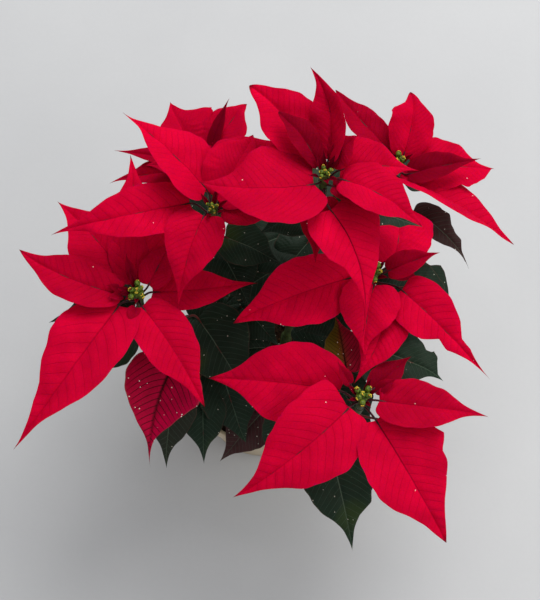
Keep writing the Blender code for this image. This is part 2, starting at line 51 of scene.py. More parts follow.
# %% [markdown]
# ## Units, colours and nodes
#
# The tables are in millimetres, as a gardener would measure, and Blender works in metres, so one
# number turns one into the other. A pattern's scale is one over the size of its cells, so it comes
# from millimetres too. Colours are written as sRGB hex values, the way a picture editor shows them.
# Shaders add up light, so they need linear values, and one function does that for all.

# %% Units and colours
MM = 0.001
UP = np.array([0.0, 0.0, 1.0])
TURN = 2 * np.pi


def pattern_scale(cell):
    """The scale of a pattern whose cells are this many millimetres across."""
    return 1 / (cell * MM)


def linear(code):
    """An sRGB hex value such as #CC0130 as linear red, green, blue and alpha."""
    parts = [int(code[i:i + 2], 16) / 255 for i in (1, 3, 5)]
    return (*(c / 12.92 if c <= 0.04045 else ((c + 0.055) / 1.055) ** 2.4 for c in parts), 1.0)


print("crimson in linear light:", [round(c, 3) for c in linear("#CC0130")])

# %% [markdown]
# Materials are built from nodes. One small function adds any node with its settings and its inputs,
# where an input is a number, a colour, another node or one of its outputs. Sockets are numbered
# where Blender gives several of them one name: in a Map Range node, 1 and 2 are the range that
# comes in, and 3 and 4 are the range that goes out. A surface is painted as a painter would do it:
# a ground colour, then thin coats over it, each where its mask lets it lie.

# %% Nodes and paint
MIX_A, MIX_B, MIX_RESULT = 6, 7, 2
SMOOTH = {"interpolation_type": "SMOOTHSTEP"}


def add_node(tree, kind, inputs=(), **settings):
    """Adds one shader node, with its settings and what each of its inputs takes."""
    made = tree.nodes.new("ShaderNode" + kind)
    for name, value in settings.items():
        setattr(made, name, value)
    for socket, value in dict(inputs).items():
        if isinstance(value, bpy.types.Node):
            value = next(out for out in value.outputs if out.enabled)
        if isinstance(value, bpy.types.NodeSocket):
            tree.links.new(value, made.inputs[socket])
        else:
            made.inputs[socket].default_value = value
    return made


def new_material(name, roughness, ior):
    """A material with its shader, at a typical roughness and index of refraction."""
    material = bpy.data.materials.new(name)
    material.use_nodes = True
    shader = material.node_tree.nodes["Principled BSDF"]
    shader.inputs["Roughness"].default_value = roughness
    shader.inputs["IOR"].default_value = ior
    return material, material.node_tree, shader


def paint(tree, shader, ground, coats):
    """Paints a ground colour and coats over it: each has a mask, its share and its colour."""
    colour = linear(ground)
    for mask, share, code in coats:
        weight = add_node(tree, "Math", {0: mask, 1: share}, operation="MULTIPLY")
        layers = {0: weight, MIX_A: colour, MIX_B: linear(code)}
        colour = add_node(tree, "Mix", layers, data_type="RGBA")
    tree.links.new(colour.outputs[MIX_RESULT], shader.inputs["Base Color"])


print("scale of a pattern with 5 mm cells:", round(pattern_scale(5)))

# %% [markdown]
# ## The veins of a blade
#
# A bract or leaf has one midrib and some fourteen pairs of side veins, which leave it at nearly 60
# degrees and bend towards the tip, with a fine net between them. An image could hold that, but the
# lesson uses none. Waves on the whole object would not follow each blade. So every blade gets a map
# of its own, called blade: the first number runs from 0 at its base to 1 at its tip, and the second
# is the distance from the midrib as a share of the blade's length. A side vein is then a line of
# one simple formula. The same formula gives the mesh its quilting, so relief and colour agree.

# %% The vein formula, in mesh code and in nodes
VEIN_COUNT = 14
VEIN_LEAN = 0.62
VEIN_BEND = 1.1
ALTERNATE = 0.5
VEIN_WANDER = 0.022
WANDER_SCALE = pattern_scale(16.7)


def vein_steps(along, across):
    """Counts side veins from the base: a whole number is on a vein, a half is between two."""
    far = np.abs(across)
    start = along - far * (VEIN_LEAN + VEIN_BEND * far)
    return VEIN_COUNT * start + ALTERNATE * (across > 0)


def vein_lines(tree, along, across, where, vein_half):
    """A mask of the side veins. Half a vein is vein_half of the space between two of them."""
    far = add_node(tree, "Math", {0: across}, operation="ABSOLUTE")
    lean = add_node(tree, "Math", {0: far, 1: VEIN_BEND, 2: VEIN_LEAN}, operation="MULTIPLY_ADD")
    shift = add_node(tree, "Math", {0: far, 1: lean}, operation="MULTIPLY")
    start = add_node(tree, "Math", {0: along, 1: shift}, operation="SUBTRACT")
    drift = add_node(tree, "TexNoise", {"Vector": where, "Scale": WANDER_SCALE, "Detail": 1.0})
    loose = add_node(tree, "Math", {0: drift, 1: VEIN_WANDER, 2: start}, operation="MULTIPLY_ADD")
    left = add_node(tree, "Math", {0: across, 1: 0.0}, operation="GREATER_THAN")
    turn = add_node(tree, "Math", {0: left, 1: ALTERNATE}, operation="MULTIPLY")
    count = add_node(tree, "Math", {0: loose, 1: VEIN_COUNT, 2: turn}, operation="MULTIPLY_ADD")
    near = add_node(tree, "Math", {0: count, 1: 0.5}, operation="PINGPONG")
    return add_node(tree, "MapRange", {0: near, 1: 0.0, 2: vein_half, 3: 1.0, 4: 0.0}, **SMOOTH)


print("side vein spacing on a 100 mm bract:", round(100 / VEIN_COUNT, 1), "mm")

# %% [markdown]
# The other masks come from the same map and from four marks that each blade's mesh carries. Red
# runs from 0 at the midrib to 1 at the margin, green is 1 on the underside, blue is the blade's
# tone, and alpha says how dark its midrib is. Side veins fade at the margin and the midrib fades
# towards the tip. The last mask is a scatter of pale specks about 1 mm wide, such as dust and dried
# drops leave on a plant.

# %% The masks of a blade
RIB_CORE = 0.001
RIB_HALF = 0.008
FAINT = 0.25
TIP_FROM = 0.93
RIM_FROM = 0.955
NET_SCALE = pattern_scale(3.0)
NET_LINE = 0.12
SPECK_SCALE = pattern_scale(5.0)
SPECK_SIZE = 0.1


def blade_masks(tree, vein_half, dusty, rib_half=RIB_HALF):
    """Masks for painting a blade: rib_half is a share of its length, dusty of its specks."""
    place = add_node(tree, "UVMap", uv_map="blade")
    split = add_node(tree, "SeparateXYZ", {0: place})
    along, across = split.outputs["X"], split.outputs["Y"]
    where = add_node(tree, "TexCoord").outputs["Object"]
    marks = add_node(tree, "Attribute", attribute_name="marks")
    facts = add_node(tree, "SeparateColor", {0: marks.outputs["Color"]})
    margin, under, tone = (facts.outputs[name] for name in ("Red", "Green", "Blue"))

    lines = vein_lines(tree, along, across, where, vein_half)
    fade = add_node(tree, "MapRange", {0: margin, 1: 0.7, 2: 1.0, 3: 1.0, 4: FAINT})
    side = add_node(tree, "Math", {0: lines, 1: fade}, operation="MULTIPLY")
    far = add_node(tree, "Math", {0: across}, operation="ABSOLUTE")
    rib = add_node(tree, "MapRange", {0: far, 1: RIB_CORE, 2: rib_half, 3: 1.0, 4: 0.0}, **SMOOTH)
    thin = add_node(tree, "MapRange", {0: along, 1: 0.1, 2: 0.9, 3: 1.0, 4: FAINT})
    dark = add_node(tree, "Math", {0: thin, 1: marks.outputs["Alpha"]}, operation="MULTIPLY")
    midrib = add_node(tree, "Math", {0: rib, 1: dark}, operation="MULTIPLY")

    mesh = {"Vector": where, "Scale": NET_SCALE}
    border = add_node(tree, "TexVoronoi", mesh, feature="DISTANCE_TO_EDGE")
    net = add_node(tree, "MapRange", {0: border, 1: 0.0, 2: NET_LINE, 3: 1.0, 4: 0.0})
    rim = add_node(tree, "MapRange", {0: margin, 1: RIM_FROM, 2: 1.0, 3: 0.0, 4: 1.0})
    tip = add_node(tree, "MapRange", {0: along, 1: TIP_FROM, 2: 1.0, 3: 0.0, 4: 1.0}, **SMOOTH)
    dust = add_node(tree, "TexVoronoi", {"Vector": where, "Scale": SPECK_SCALE})
    dot = add_node(tree, "Math", {0: dust, 1: SPECK_SIZE}, operation="LESS_THAN")
    pick = add_node(tree, "SeparateColor", {0: dust.outputs["Color"]})
    few = add_node(tree, "Math", {0: pick.outputs["Red"], 1: dusty}, operation="LESS_THAN")
    speck = add_node(tree, "Math", {0: dot, 1: few}, operation="MULTIPLY")
    return {
        "where": where,
        "side": side,
        "midrib": midrib,
        "net": net,
        "rim": rim,
        "tip": tip,
        "under": under,
        "tone": tone,
        "speck": speck,
    }


print("midrib on a 100 mm bract:", round(200 * RIB_HALF, 1), "mm wide")

# %% [markdown]
# ## Bract skin
#
# A bract is soft leaf tissue, full of a red pigment. Its outer cells stand up like tiny domes, so
# it looks like velvet and has no sharp shine. Paint with one flat red would look like card. Here
# the red is cloudy at the size of a thumb, deeper along the sunken veins and duller underneath. The
# thin margin is a touch paler: a painted sheen, for the light an edge catches at a glance. A little
# light passes through it, which is what subsurface gives: red light travels 1.2 mm, other light
# almost nothing. The real domes are far too fine to show, so they are drawn 0.7 mm across.

# %% Bract skin
PETAL_IOR = 1.42
BRACT_ROUGHNESS = 0.72
BRACT_CLOUDS = pattern_scale(26.3)
DOMES = pattern_scale(0.714)
LIGHT_REACH = (1.2, 0.02, 0.05)


def bract_skin():
    """Velvety red leaf tissue: a soft wide sheen, fine sunken veins, glowing where it is thin."""
    material, tree, shader = new_material("bract_skin", BRACT_ROUGHNESS, PETAL_IOR)
    mask = blade_masks(tree, vein_half=0.055, dusty=0.03)
    where = mask["where"]
    cloud = add_node(tree, "TexNoise", {"Vector": where, "Scale": BRACT_CLOUDS, "Detail": 3.0})
    patchy = add_node(tree, "MapRange", {0: cloud, 1: 0.3, 2: 0.7, 3: 0.86, 4: 1.14})
    depth = add_node(tree, "Math", {0: mask["tone"], 1: patchy}, operation="MULTIPLY")
    coats = [
        # The tone carries each bract's shifts, which partly paint the light and shade it stands in.
        (depth, 1.0, "#DA0034"),
        (mask["net"], 0.14, "#7C0016"),
        (mask["side"], 0.26, "#740016"),
        (mask["midrib"], 1.0, "#30000B"),
        (mask["under"], 0.50, "#A80E30"),
        # Painted sheen: the margin is a touch paler, for the light a blade's edge catches at a
        # glance.
        (mask["rim"], 0.08, "#D6103F"),
        (mask["tip"], 0.80, "#3C0812"),
        (mask["speck"], 0.80, "#F2C9C4"),
    ]
    paint(tree, shader, "#4A0010", coats)
    domes = add_node(tree, "TexNoise", {"Vector": where, "Scale": DOMES, "Detail": 1.0})
    sunk = add_node(tree, "Math", {0: mask["side"], 1: -1.0, 2: domes}, operation="MULTIPLY_ADD")
    deep = add_node(tree, "Math", {0: mask["midrib"], 1: -1.5, 2: sunk}, operation="MULTIPLY_ADD")
    bump = add_node(tree, "Bump", {"Strength": 0.7, "Distance": 0.3 * MM, "Height": deep})
    tree.links.new(bump.outputs[0], shader.inputs["Normal"])
    shader.inputs["Specular IOR Level"].default_value = 0.03
    shader.inputs["Sheen Weight"].default_value = 0.02
    shader.inputs["Sheen Roughness"].default_value = 0.4
    shader.inputs["Sheen Tint"].default_value = linear("#FF1E50")
    shader.inputs["Subsurface Weight"].default_value = 0.25
    shader.inputs["Subsurface Radius"].default_value = LIGHT_REACH
    shader.inputs["Subsurface Scale"].default_value = MM
    return material


BRACT_SKIN = bract_skin()
print("made", BRACT_SKIN.name)

# %% [markdown]
# ## Green leaf skin
#
# The green leaves are the same kind of blade with a waxy coat: a very dark blue-green above, with
# paler veins, and a grey-green underside. Here and there a patch is fresher and yellower, and a few
# leaves have a purple-brown flush, which is their tone. They start from the same masks as the
# bracts, and only the colours and the shine differ.

# %% Green leaf skin
LEAF_IOR = 1.45
LEAF_ROUGHNESS = 0.5
LEAF_CLOUDS = pattern_scale(22.2)
FRESH_PATCHES = pattern_scale(71.4)


def leaf_skin():
    """Waxy dark green leaf tissue: pale vein lines and a broad dull shine."""
    material, tree, shader = new_material("leaf_skin", LEAF_ROUGHNESS, LEAF_IOR)
    mask = blade_masks(tree, vein_half=0.06, dusty=0.45)
    where = mask["where"]
    cloud = add_node(tree, "TexNoise", {"Vector": where, "Scale": LEAF_CLOUDS, "Detail": 3.0})
    patch = add_node(tree, "TexNoise", {"Vector": where, "Scale": FRESH_PATCHES, "Detail": 1.0})
    fresh = add_node(tree, "MapRange", {0: patch, 1: 0.6, 2: 0.72, 3: 0.0, 4: 1.0})
    coats = [
        (cloud, 0.9, "#203524"),
        (fresh, 0.7, "#3C4E1A"),
        (mask["tone"], 1.0, "#452426"),
        (mask["net"], 0.12, "#0B120B"),
        (mask["side"], 0.32, "#5C7561"),
        (mask["midrib"], 0.55, "#7C9179"),
        (mask["under"], 0.75, "#55704E"),
        (mask["rim"], 0.3, "#6E4A40"),
        (mask["speck"], 0.85, "#D9D6C4"),
    ]
    paint(tree, shader, "#142317", coats)
    sunk = add_node(tree, "Math", {0: mask["side"], 1: -1.0}, operation="MULTIPLY")
    deep = add_node(tree, "Math", {0: mask["midrib"], 1: -1.4, 2: sunk}, operation="MULTIPLY_ADD")
    fine = add_node(tree, "Math", {0: mask["net"], 1: -0.4, 2: deep}, operation="MULTIPLY_ADD")
    bump = add_node(tree, "Bump", {"Strength": 0.6, "Distance": 0.3 * MM, "Height": fine})
    tree.links.new(bump.outputs[0], shader.inputs["Normal"])
    shader.inputs["Specular IOR Level"].default_value = 0.18
    return material


LEAF_SKIN = leaf_skin()
print("made", LEAF_SKIN.name)

# %% [markdown]
# ## The skin of a leaf that turns red
#
# A leaf next to a head may be caught half way. Two are here. One is crimson between broad, nearly
# black veins, and the other is olive on one half, which its tone says at each place. Their pigment
# comes in smaller clouds than a bract's, and more dust shows on them.

# %% Skin of a turning leaf
TURNING_ROUGHNESS = 0.55
TURNING_CLOUDS = pattern_scale(14.3)


def turning_skin():
    """Leaf tissue half way from green to red: crimson or olive between broad blackish veins."""
    material, tree, shader = new_material("turning_skin", TURNING_ROUGHNESS, LEAF_IOR)
    mask = blade_masks(tree, vein_half=0.13, dusty=0.6, rib_half=0.026)
    where = mask["where"]
    cloud = add_node(tree, "TexNoise", {"Vector": where, "Scale": TURNING_CLOUDS, "Detail": 3.0})
    coats = [
        (cloud, 1.0, "#CC0040"),
        (mask["tone"], 1.0, "#56540F"),
        (mask["net"], 0.16, "#3A0A18"),
        (mask["side"], 0.85, "#1E0C10"),
        (mask["midrib"], 0.95, "#160D0C"),
        (mask["under"], 0.6, "#6A4038"),
        (mask["rim"], 0.4, "#8E5A55"),
        (mask["tip"], 0.8, "#22080C"),
        (mask["speck"], 1.0, "#F0E4D8"),
    ]
    paint(tree, shader, "#8E0028", coats)
    sunk = add_node(tree, "Math", {0: mask["side"], 1: -1.0}, operation="MULTIPLY")
    bump = add_node(tree, "Bump", {"Strength": 0.6, "Distance": 0.3 * MM, "Height": sunk})
    tree.links.new(bump.outputs[0], shader.inputs["Normal"])
    shader.inputs["Specular IOR Level"].default_value = 0.04
    return material


TURNING_SKIN = turning_skin()
print("made", TURNING_SKIN.name)

# %% [markdown]
# ## Stalks, stems and cyathia: small smooth plant parts
#
# Bract stalks are thin and so dark a red that they look black against the floor. Leaf stalks are
# redder, and stems and branches are a dull green, streaked lengthwise. That green is kept dark,
# which also paints the shade that the stem tips stand in under their bracts. The cyathia are green
# cups with yellow glands like small lips, and a few red threads with yellow tips. None of them
# needs a
# map: noise in the object's own space gives each its streaks and blotches.

# %% Plain plant skins from one recipe
STREAKED = 0.3


def plant_skin(name, dark, light, grain, roughness, stretch=1.0):
    """Smooth plant skin in two close colours, blotched at the grain's size in millimetres."""
    material, tree, shader = new_material(name, roughness, PETAL_IOR)
    where = add_node(tree, "TexCoord").outputs["Object"]
    squeezed = add_node(tree, "Mapping", {0: where, "Scale": (1.0, 1.0, stretch)})
    spots = {"Vector": squeezed, "Scale": pattern_scale(grain), "Detail": 4.0}
    blotch = add_node(tree, "TexNoise", spots)
    sharp = add_node(tree, "MapRange", {0: blotch, 1: 0.35, 2: 0.65, 3: 0.0, 4: 1.0})
    paint(tree, shader, dark, [(sharp, 1.0, light)])
    bump = add_node(tree, "Bump", {"Strength": 0.35, "Distance": 0.2 * MM, "Height": blotch})
    tree.links.new(bump.outputs[0], shader.inputs["Normal"])
    shader.inputs["Specular IOR Level"].default_value = 0.35
    return material


BRACT_STALK = plant_skin("bract_stalk_skin", "#22060C", "#4C0A17", 2.5, 0.45)
LEAF_STALK = plant_skin("leaf_stalk_skin", "#4A1A18", "#6E2A22", 3.0, 0.45)
# Painted shade: the stem green is kept dark for the shadow the stem tips stand in under the heads.
YOUNG_STEM = plant_skin("young_stem_skin", "#2A3717", "#4A5828", 4.0, 0.5, STREAKED)
CUP_SKIN = plant_skin("cyathium_cup_skin", "#2A3D0C", "#6C8424", 1.6, 0.45)
GLAND_SKIN = plant_skin("nectar_gland_skin", "#C9A91E", "#EAD44A", 0.8, 0.3)
THREAD_SKIN = plant_skin("stamen_thread_skin", "#A3101C", "#C8252C", 0.8, 0.45)
POLLEN_SKIN = plant_skin("pollen_skin", "#D9B021", "#F0D95A", 0.5, 0.8)
print("materials so far:", len(bpy.data.materials))

# %% [markdown]
# ## The tables of bracts and leaves
#
# No rule puts each bract where this plant has it, so each is one measured row. It says
# where the blade points, how far it reaches, how it rises, arches, folds, rolls and sways, and what
# its stalk does. A tooth is a side, a place along the blade and a size, and taper is how fast the
# blade narrows to its tip. A head adds the leaves that still turn red, and how far its cyathia have
# grown. They are the rows of the CAD source, so the dressed plant keeps the frame's form.

# %% Row types
Leaf = namedtuple(
    "Leaf",
    "toward reach rise arch width fold roll sway stalk stalk_turn stalk_drop teeth taper",
    defaults=((), 1.4),
)
Bloom = namedtuple("Bloom", "name head bracts turning growth", defaults=((), 1.0))
Stem = namedtuple("Stem", "name foot fork branches")
print("numbers that describe a blade:", len(Leaf._fields))

# %% Seven heads of bracts
BLOOMS = [
    Bloom(
        "top",
        (48, 77, 375),
        [
            Leaf(185, 97, -1, 8, 76, 14, 10, 7, 11, 38, 5, ((-1, 0.2, 0.1),), 1.28),
            Leaf(130, 90, 13, 6, 47, 20, -14, -2, 15, -30, 10, (), 0.72),
            Leaf(133, 54, 23, 4, 25, 24, 4, -3, 9, -16, 4, (), 0.65),
            Leaf(99, 74, 35, 5, 38, 26, -40, -8, 13, -24, 3, (), 1.3),
            Leaf(45, 36, 15, 3, 28, 15, 0, 0, 13, 20, 3),
            Leaf(10, 80, -30, 11, 50, 16, 6, 0, 15, 20, 11, (), 2.0),
            Leaf(-26, 84, -22, 10, 43, 20, -6, 2, 15, 8, 3, (), 1.05),
            Leaf(-76, 125, -53, 8, 64, 12, -18, 11, 23, -1, 20, ((-1, 0.36, 0.15),), 2.95),
            Leaf(-22, 36, -25, 3, 20, 18, 0, 0, 9, -18, 12),
            Leaf(-97, 60, -38, 4, 34, 14, 0, 0, 9, 0, 27),
            Leaf(62, 30, 20, 1, 8, 15, 0, 0, 12, 0, 2),
        ],
        growth=0.7,
    ),
    Bloom(
        "upper_left",
        (-39, 61, 345),
        [
            Leaf(135, 101, 23, 7, 56, 22, 20, -1, 18, -28, 2, (), 1.75),
            Leaf(60, 67, 10, 7, 50, 15, 0, 0, 14, 0, 3, (), 1.0),
            Leaf(41, 84, 2, 7, 58, 15, 0, 4, 12, 40, 5, (), 1.2),
            Leaf(-112, 77, -38, 14, 50, 14, 7, -1, 9, -26, 3, (), 1.63),
            Leaf(186, 130, -19, 12, 45, 20, -10, 4, 20, -28, 9),
            Leaf(-1, 60, -9, 3, 32, 10, 0, 0, 9, 20, 7),
            Leaf(15, 62, -20, 4, 34, 12, 0, 0, 9, 10, 16),
        ],
        growth=0.6,
    ),
    Bloom(
        "left",
        (-100, 7, 300),
        [
            Leaf(161, 102, 6, 6, 38, 16, -8, 6, 14, 25, 2, (), 0.95),
            Leaf(231, 156, -38, 14, 69, 14, 12, 3, 18, -20, 8, ((-1, 0.62, -0.1),), 1.48),
            Leaf(-59, 106, -18, 10, 46, 16, 0, 2, 12, -12, 4, (), 1.05),
            Leaf(8, 98, -12, 6, 36, 12, 0, -4, 12, 5, 8),
            Leaf(57, 54, 4, 3, 28, 15, 0, 0, 11, -20, 2),
            Leaf(94, 127, -8, 8, 50, 15, 0, 0, 10, -8, 5),
            Leaf(131, 105, 0, 5, 64, 14, 0, -3, 13, 0, 4),
            Leaf(109, 27, 20, 1, 9, 20, 0, 0, 12, 0, 2),
            Leaf(-104, 27, 0, 1, 11, 10, 0, 0, 12, 10, 3),
            Leaf(172, 25, 8, 1, 8, 15, 0, 0, 12, 0, 3),
            Leaf(196, 25, 5, 1, 8, 15, 0, 0, 12, 0, 1),
        ],
        [Leaf(-87, 126, -74, 8, 68, 14, 0, -4, 60, 24, 32, (), 2.2)],
    ),
    Bloom(
        "front_right",
        (79, -77, 290),
        [
            Leaf(171, 124, -16, 12, 70, 16, -20, 1, 19, -16, 13, (), 1.2),
            Leaf(217, 127, -28, 10, 69, 12, -14, 5, 14, 4, 2,
                 ((-1, 0.14, 0.12), (-1, 0.05, 0.25)), 1.33),
            Leaf(-58, 127, -44, 12, 66, 14, 0, -1, 21, 0, 8,
                 ((1, 0.33, 0.28), (1, 0.22, 0.1)), 0.95),
            Leaf(-8, 101, -4, 7, 42, 18, 0, -2, 14, -5, 2),
            Leaf(130, 32, 14, 1, 11, 15, 0, 0, 14, 0, 3),
            Leaf(43, 57, -15, 3, 24, 15, 0, 0, 13, 0, 12),
            Leaf(23, 30, 10, 1, 11, 15, 0, 0, 13, 0, 3),
        ],
        [Leaf(103, 80, -28, 5, 34, 14, 0, 0, 30, 7, 26)],
    ),
    Bloom(
        "right",
        (89, 21, 305),
        [
            Leaf(197, 118, -19, 10, 58, 16, -12, 1, 17, -16, 9, (), 1.0),
            Leaf(-97, 67, -17, 6, 50, 12, 0, -2, 8, 16, 6),
            Leaf(-101, 85, -31, 6, 42, 12, 0, 6, 22, 45, 15),
            Leaf(-39, 123, -41, 14, 46, 14, 12, -2, 26, 14, 9,
                 ((-1, 0.5, -0.28), (1, 0.62, -0.2)), 1.9),
            Leaf(14, 55, 13, 3, 24, 26, 10, 0, 13, 0, 3),
            Leaf(73, 74, -14, 3, 56, 10, 0, -4, 21, -37, 8, (), 0.7),
            Leaf(2, 40, -19, 2, 18, 12, 0, 0, 18, 30, 13),
        ],
    ),
    Bloom(
        "back_right",
        (112, 121, 300),
        [
            Leaf(127, 84, 2, 5, 28, 14, 0, 3, 8, -39, 5, (), 0.85),
            Leaf(77, 57, 20, 4, 39, 14, 8, -3, 10, -22, 3,
                 ((1, 0.64, 0.15), (1, 0.72, 0.24)), 0.75),
            Leaf(-3, 68, 14, 4, 28, 24, 0, 0, 13, -40, 3),
            Leaf(0, 83, -14, 5, 50, 10, 0, 0, 13, 0, 8,
                 ((-1, 0.66, 0.3), (-1, 0.76, 0.36), (-1, 0.86, 0.3))),
            Leaf(-33, 116, -28, 11, 48, 28, -34, 1, 11, -46, 6, (), 0.93),
            Leaf(220, 48, -18, 4, 32, 14, 0, 0, 9, 0, 10),
        ],
    ),
    Bloom(
        "back_left",
        (-49, 129, 288),
        [
            Leaf(120, 61, 4, 5, 50, 12, 0, 0, 14, 13, 4,
                 ((-1, 0.44, 0.22), (-1, 0.52, 0.34), (-1, 0.6, 0.2))),
            Leaf(66, 53, 22, 2, 12, 20, 0, 0, 13, 0, 3),
            Leaf(56, 62, 6, 4, 38, 14, 0, 0, 13, 0, 3, (), 0.9),
            Leaf(176, 75, 8, 3, 18, 24, 0, 0, 13, 10, 3),
            Leaf(191, 81, -8, 4, 26, 18, 0, 0, 14, 26, 2),
            Leaf(198, 50, 24, 3, 28, 24, 0, 0, 15, 16, 0),
        ],
    ),
]
print("bracts:", sum(len(bloom.bracts) for bloom in BLOOMS))
print("turning leaves:", sum(len(bloom.turning) for bloom in BLOOMS))

# %% Three leafy stems
STEMS = [
    Stem(
        "left",
        (-20, 12),
        (-24, 16, 150),
        {
            "upper_left": [
                (0.36, Leaf(-42, 62, -8, 8, 48, 12, 0, 0, 14, 10, -4)),
                (0.62, Leaf(95, 104, 2, 10, 50, 12, 0, 0, 42, 10, -8)),
                (0.30, Leaf(-144, 78, -34, 8, 44, 12, 0, 0, 26, 10, 8)),
                (0.84, Leaf(-62, 62, -14, 6, 50, 12, 0, 0, 9, 0, 0)),
                (0.92, Leaf(-22, 60, -14, 5, 42, 12, 0, 0, 9, 0, 0)),
            ],
            "left": [
                (0.55, Leaf(-41, 90, -22, 9, 66, 12, 0, 0, 24, 50, -14)),
                (0.25, Leaf(-69, 96, -30, 8, 56, 12, 0, 0, 36, 1, -7, (), 1.05)),
                (0.30, Leaf(-88, 107, -40, 7, 42, 14, 0, 0, 52, 2, 4)),
                (0.60, Leaf(-91, 111, -60, 8, 46, 12, 0, 0, 48, 11, 14)),
                (0.40, Leaf(-159, 104, -8, 8, 46, 12, 0, 0, 50, -14, -14)),
                (0.88, Leaf(184, 82, -4, 6, 50, 12, 0, 0, 9, -10, -4)),
                (0.70, Leaf(150, 92, -24, 8, 46, 12, 0, 0, 34, 0, 0)),
                (0.45, Leaf(24, 62, 4, 7, 44, 12, 0, 0, 12, 0, -12)),
            ],
            "back_left": [
                (0.40, Leaf(160, 98, -18, 8, 50, 12, 0, 0, 36, 0, -4)),
                (0.20, Leaf(134, 88, -30, 8, 48, 12, 0, 0, 34, 0, 0)),
                (0.60, Leaf(105, 92, -30, 8, 48, 12, 0, 0, 34, 0, 0)),
                (0.75, Leaf(40, 84, -26, 8, 44, 12, 0, 0, 32, 0, 0)),
            ],
        },
    ),
    Stem(
        "right",
        (21, 14),
        (22, 20, 152),
        {
            "top": [
                (0.62, Leaf(197, 85, 2, 8, 60, 12, 0, 0, 24, -26, -14)),
                (0.45, Leaf(201, 78, -12, 8, 56, 12, 0, 0, 12, -80, -8)),
                (0.75, Leaf(110, 88, -20, 8, 46, 12, 0, 0, 32, 0, 0)),
                (0.28, Leaf(78, 92, -20, 8, 50, 12, 0, 0, 34, 0, 0)),
                (0.75, Leaf(1, 88, -23, 6, 40, 12, 0, 0, 27, -3, -5)),
                (0.70, Leaf(-128, 56, -14, 6, 46, 12, 0, 0, 8, 0, 0)),
                (0.90, Leaf(-156, 54, -10, 5, 42, 12, 0, 0, 9, 0, 0)),
                (0.95, Leaf(-14, 84, -14, 4, 32, 12, 0, 0, 9, 0, 0, ((-1, 0.75, 0.2),))),
            ],
            "back_right": [
                (0.35, Leaf(-23, 111, 0, 8, 56, 12, 0, 3, 50, 9, -8, ((1, 0.5, 0.15),), 0.7)),
                (0.55, Leaf(112, 96, -22, 8, 50, 12, 0, 0, 36, 0, -4)),
                (0.75, Leaf(50, 86, -34, 8, 46, 12, 0, 0, 32, 0, 0)),
                (0.80, Leaf(-38, 93, -12, 12, 30, 14, 0, 1, 28, 2, -14,
                            ((1, 0.4, 0.2), (1, 0.7, 0.2)), 1.8)),
            ],
        },
    ),
    Stem(
        "front",
        (2, -23),
        (6, -24, 146),
        {
            "right": [
                (0.50, Leaf(-24, 104, 4, 8, 52, 12, 0, 0, 42, -5, -16,
                            ((1, 0.72, 0.24), (1, 0.8, 0.3)))),
                (0.72, Leaf(-8, 86, -12, 8, 56, 12, 0, 0, 42, 36, -14)),
                (0.30, Leaf(-50, 92, -20, 8, 44, 12, 0, 0, 32, 0, -4, ((1, 0.55, 0.15),))),
                (0.16, Leaf(4, 88, -22, 8, 46, 12, 0, 0, 34, 0, -4)),
                (0.35, Leaf(-12, 40, 24, 6, 46, 12, 0, 0, 22, 140, -24)),
                (0.80, Leaf(-158, 62, -12, 6, 44, 12, 0, 0, 12, 0, -2)),
                (0.95, Leaf(12, 56, -16, 4, 38, 12, 0, 0, 9, 0, 0)),
                (0.90, Leaf(152, 44, -6, 4, 36, 12, 0, 0, 9, 0, 0)),
            ],
            "front_right": [
                (0.30, Leaf(160, 98, 12, 8, 50, 12, 0, 0, 52, -36, -16)),
                (0.15, Leaf(-138, 79, -43, 6, 46, 12, 0, 0, 24, -5, 6)),
                (0.60, Leaf(-83, 114, -28, 9, 62, 12, 0, 0, 34, -18, -10, ((1, 0.6, 0.14),), 1.45)),
                (0.45, Leaf(-132, 72, -20, 7, 50, 12, 0, 0, 22, -14, -8)),
                (0.72, Leaf(-12, 80, -30, 8, 44, 12, 0, 0, 32, 0, 0)),
            ],
        },
    ),
]
print("green leaves:", sum(len(rows) for stem in STEMS for rows in stem.branches.values()))

# %% [markdown]
# ## One midrib and one outline for every blade
#
# A blade could be sculpted, but more than a hundred of them would take days. They are all alike in
# kind: a midrib that arches from the stalk to the tip and ends in a slight hook, and an outline
# that swells quickly, is widest early, and draws out to a narrow point. So the midrib is one
# curve of three points, and the half width is one formula of the place along it, pinched before
# the tip, with a small peak added for each tooth. Both take whole rows of places at once.

# %% Midrib and outline
OUTLINE_BASE = 0.54
TOOTH_HALF = 0.10
PINCH = 0.4
PINCH_FROM = 0.55
PINCH_SPAN = 0.3
HOOK = 1.8
HOOK_FROM = 0.75
HOOK_DROP = 0.5


def polar(radius, degrees, height=0.0):
    """The point this far out in a compass direction, at a height."""
    angle = math.radians(degrees)
    return np.array([radius * math.cos(angle), radius * math.sin(angle), height])


def unit(vectors):
    """Vectors of length 1."""
    return vectors / np.linalg.norm(vectors, axis=-1, keepdims=True)


def midrib(leaf, head, t):
    """Points of the midrib, t from 0 at the base to 1 at the tip, and the directions there."""
    head = np.array(head, float)
    base = head + polar(leaf.stalk, leaf.toward + leaf.stalk_turn, -leaf.stalk_drop)
    tip = head + polar(leaf.reach, leaf.toward, leaf.rise)
    left = unit(np.cross(UP, tip - base))
    bend = (base + tip) / 2 + 2 * leaf.arch * UP + 2 * leaf.sway * left
    t = np.atleast_1d(t)[:, None]
    points = (1 - t) ** 2 * base + 2 * t * (1 - t) * bend + t**2 * tip
    late = np.clip((t - HOOK_FROM) / (1 - HOOK_FROM), 0, 1) ** 2
    points = points + HOOK * late * (math.sin(leaf.toward + leaf.reach) * left - HOOK_DROP * UP)
    return points, unit((1 - t) * (bend - base) + t * (tip - bend))


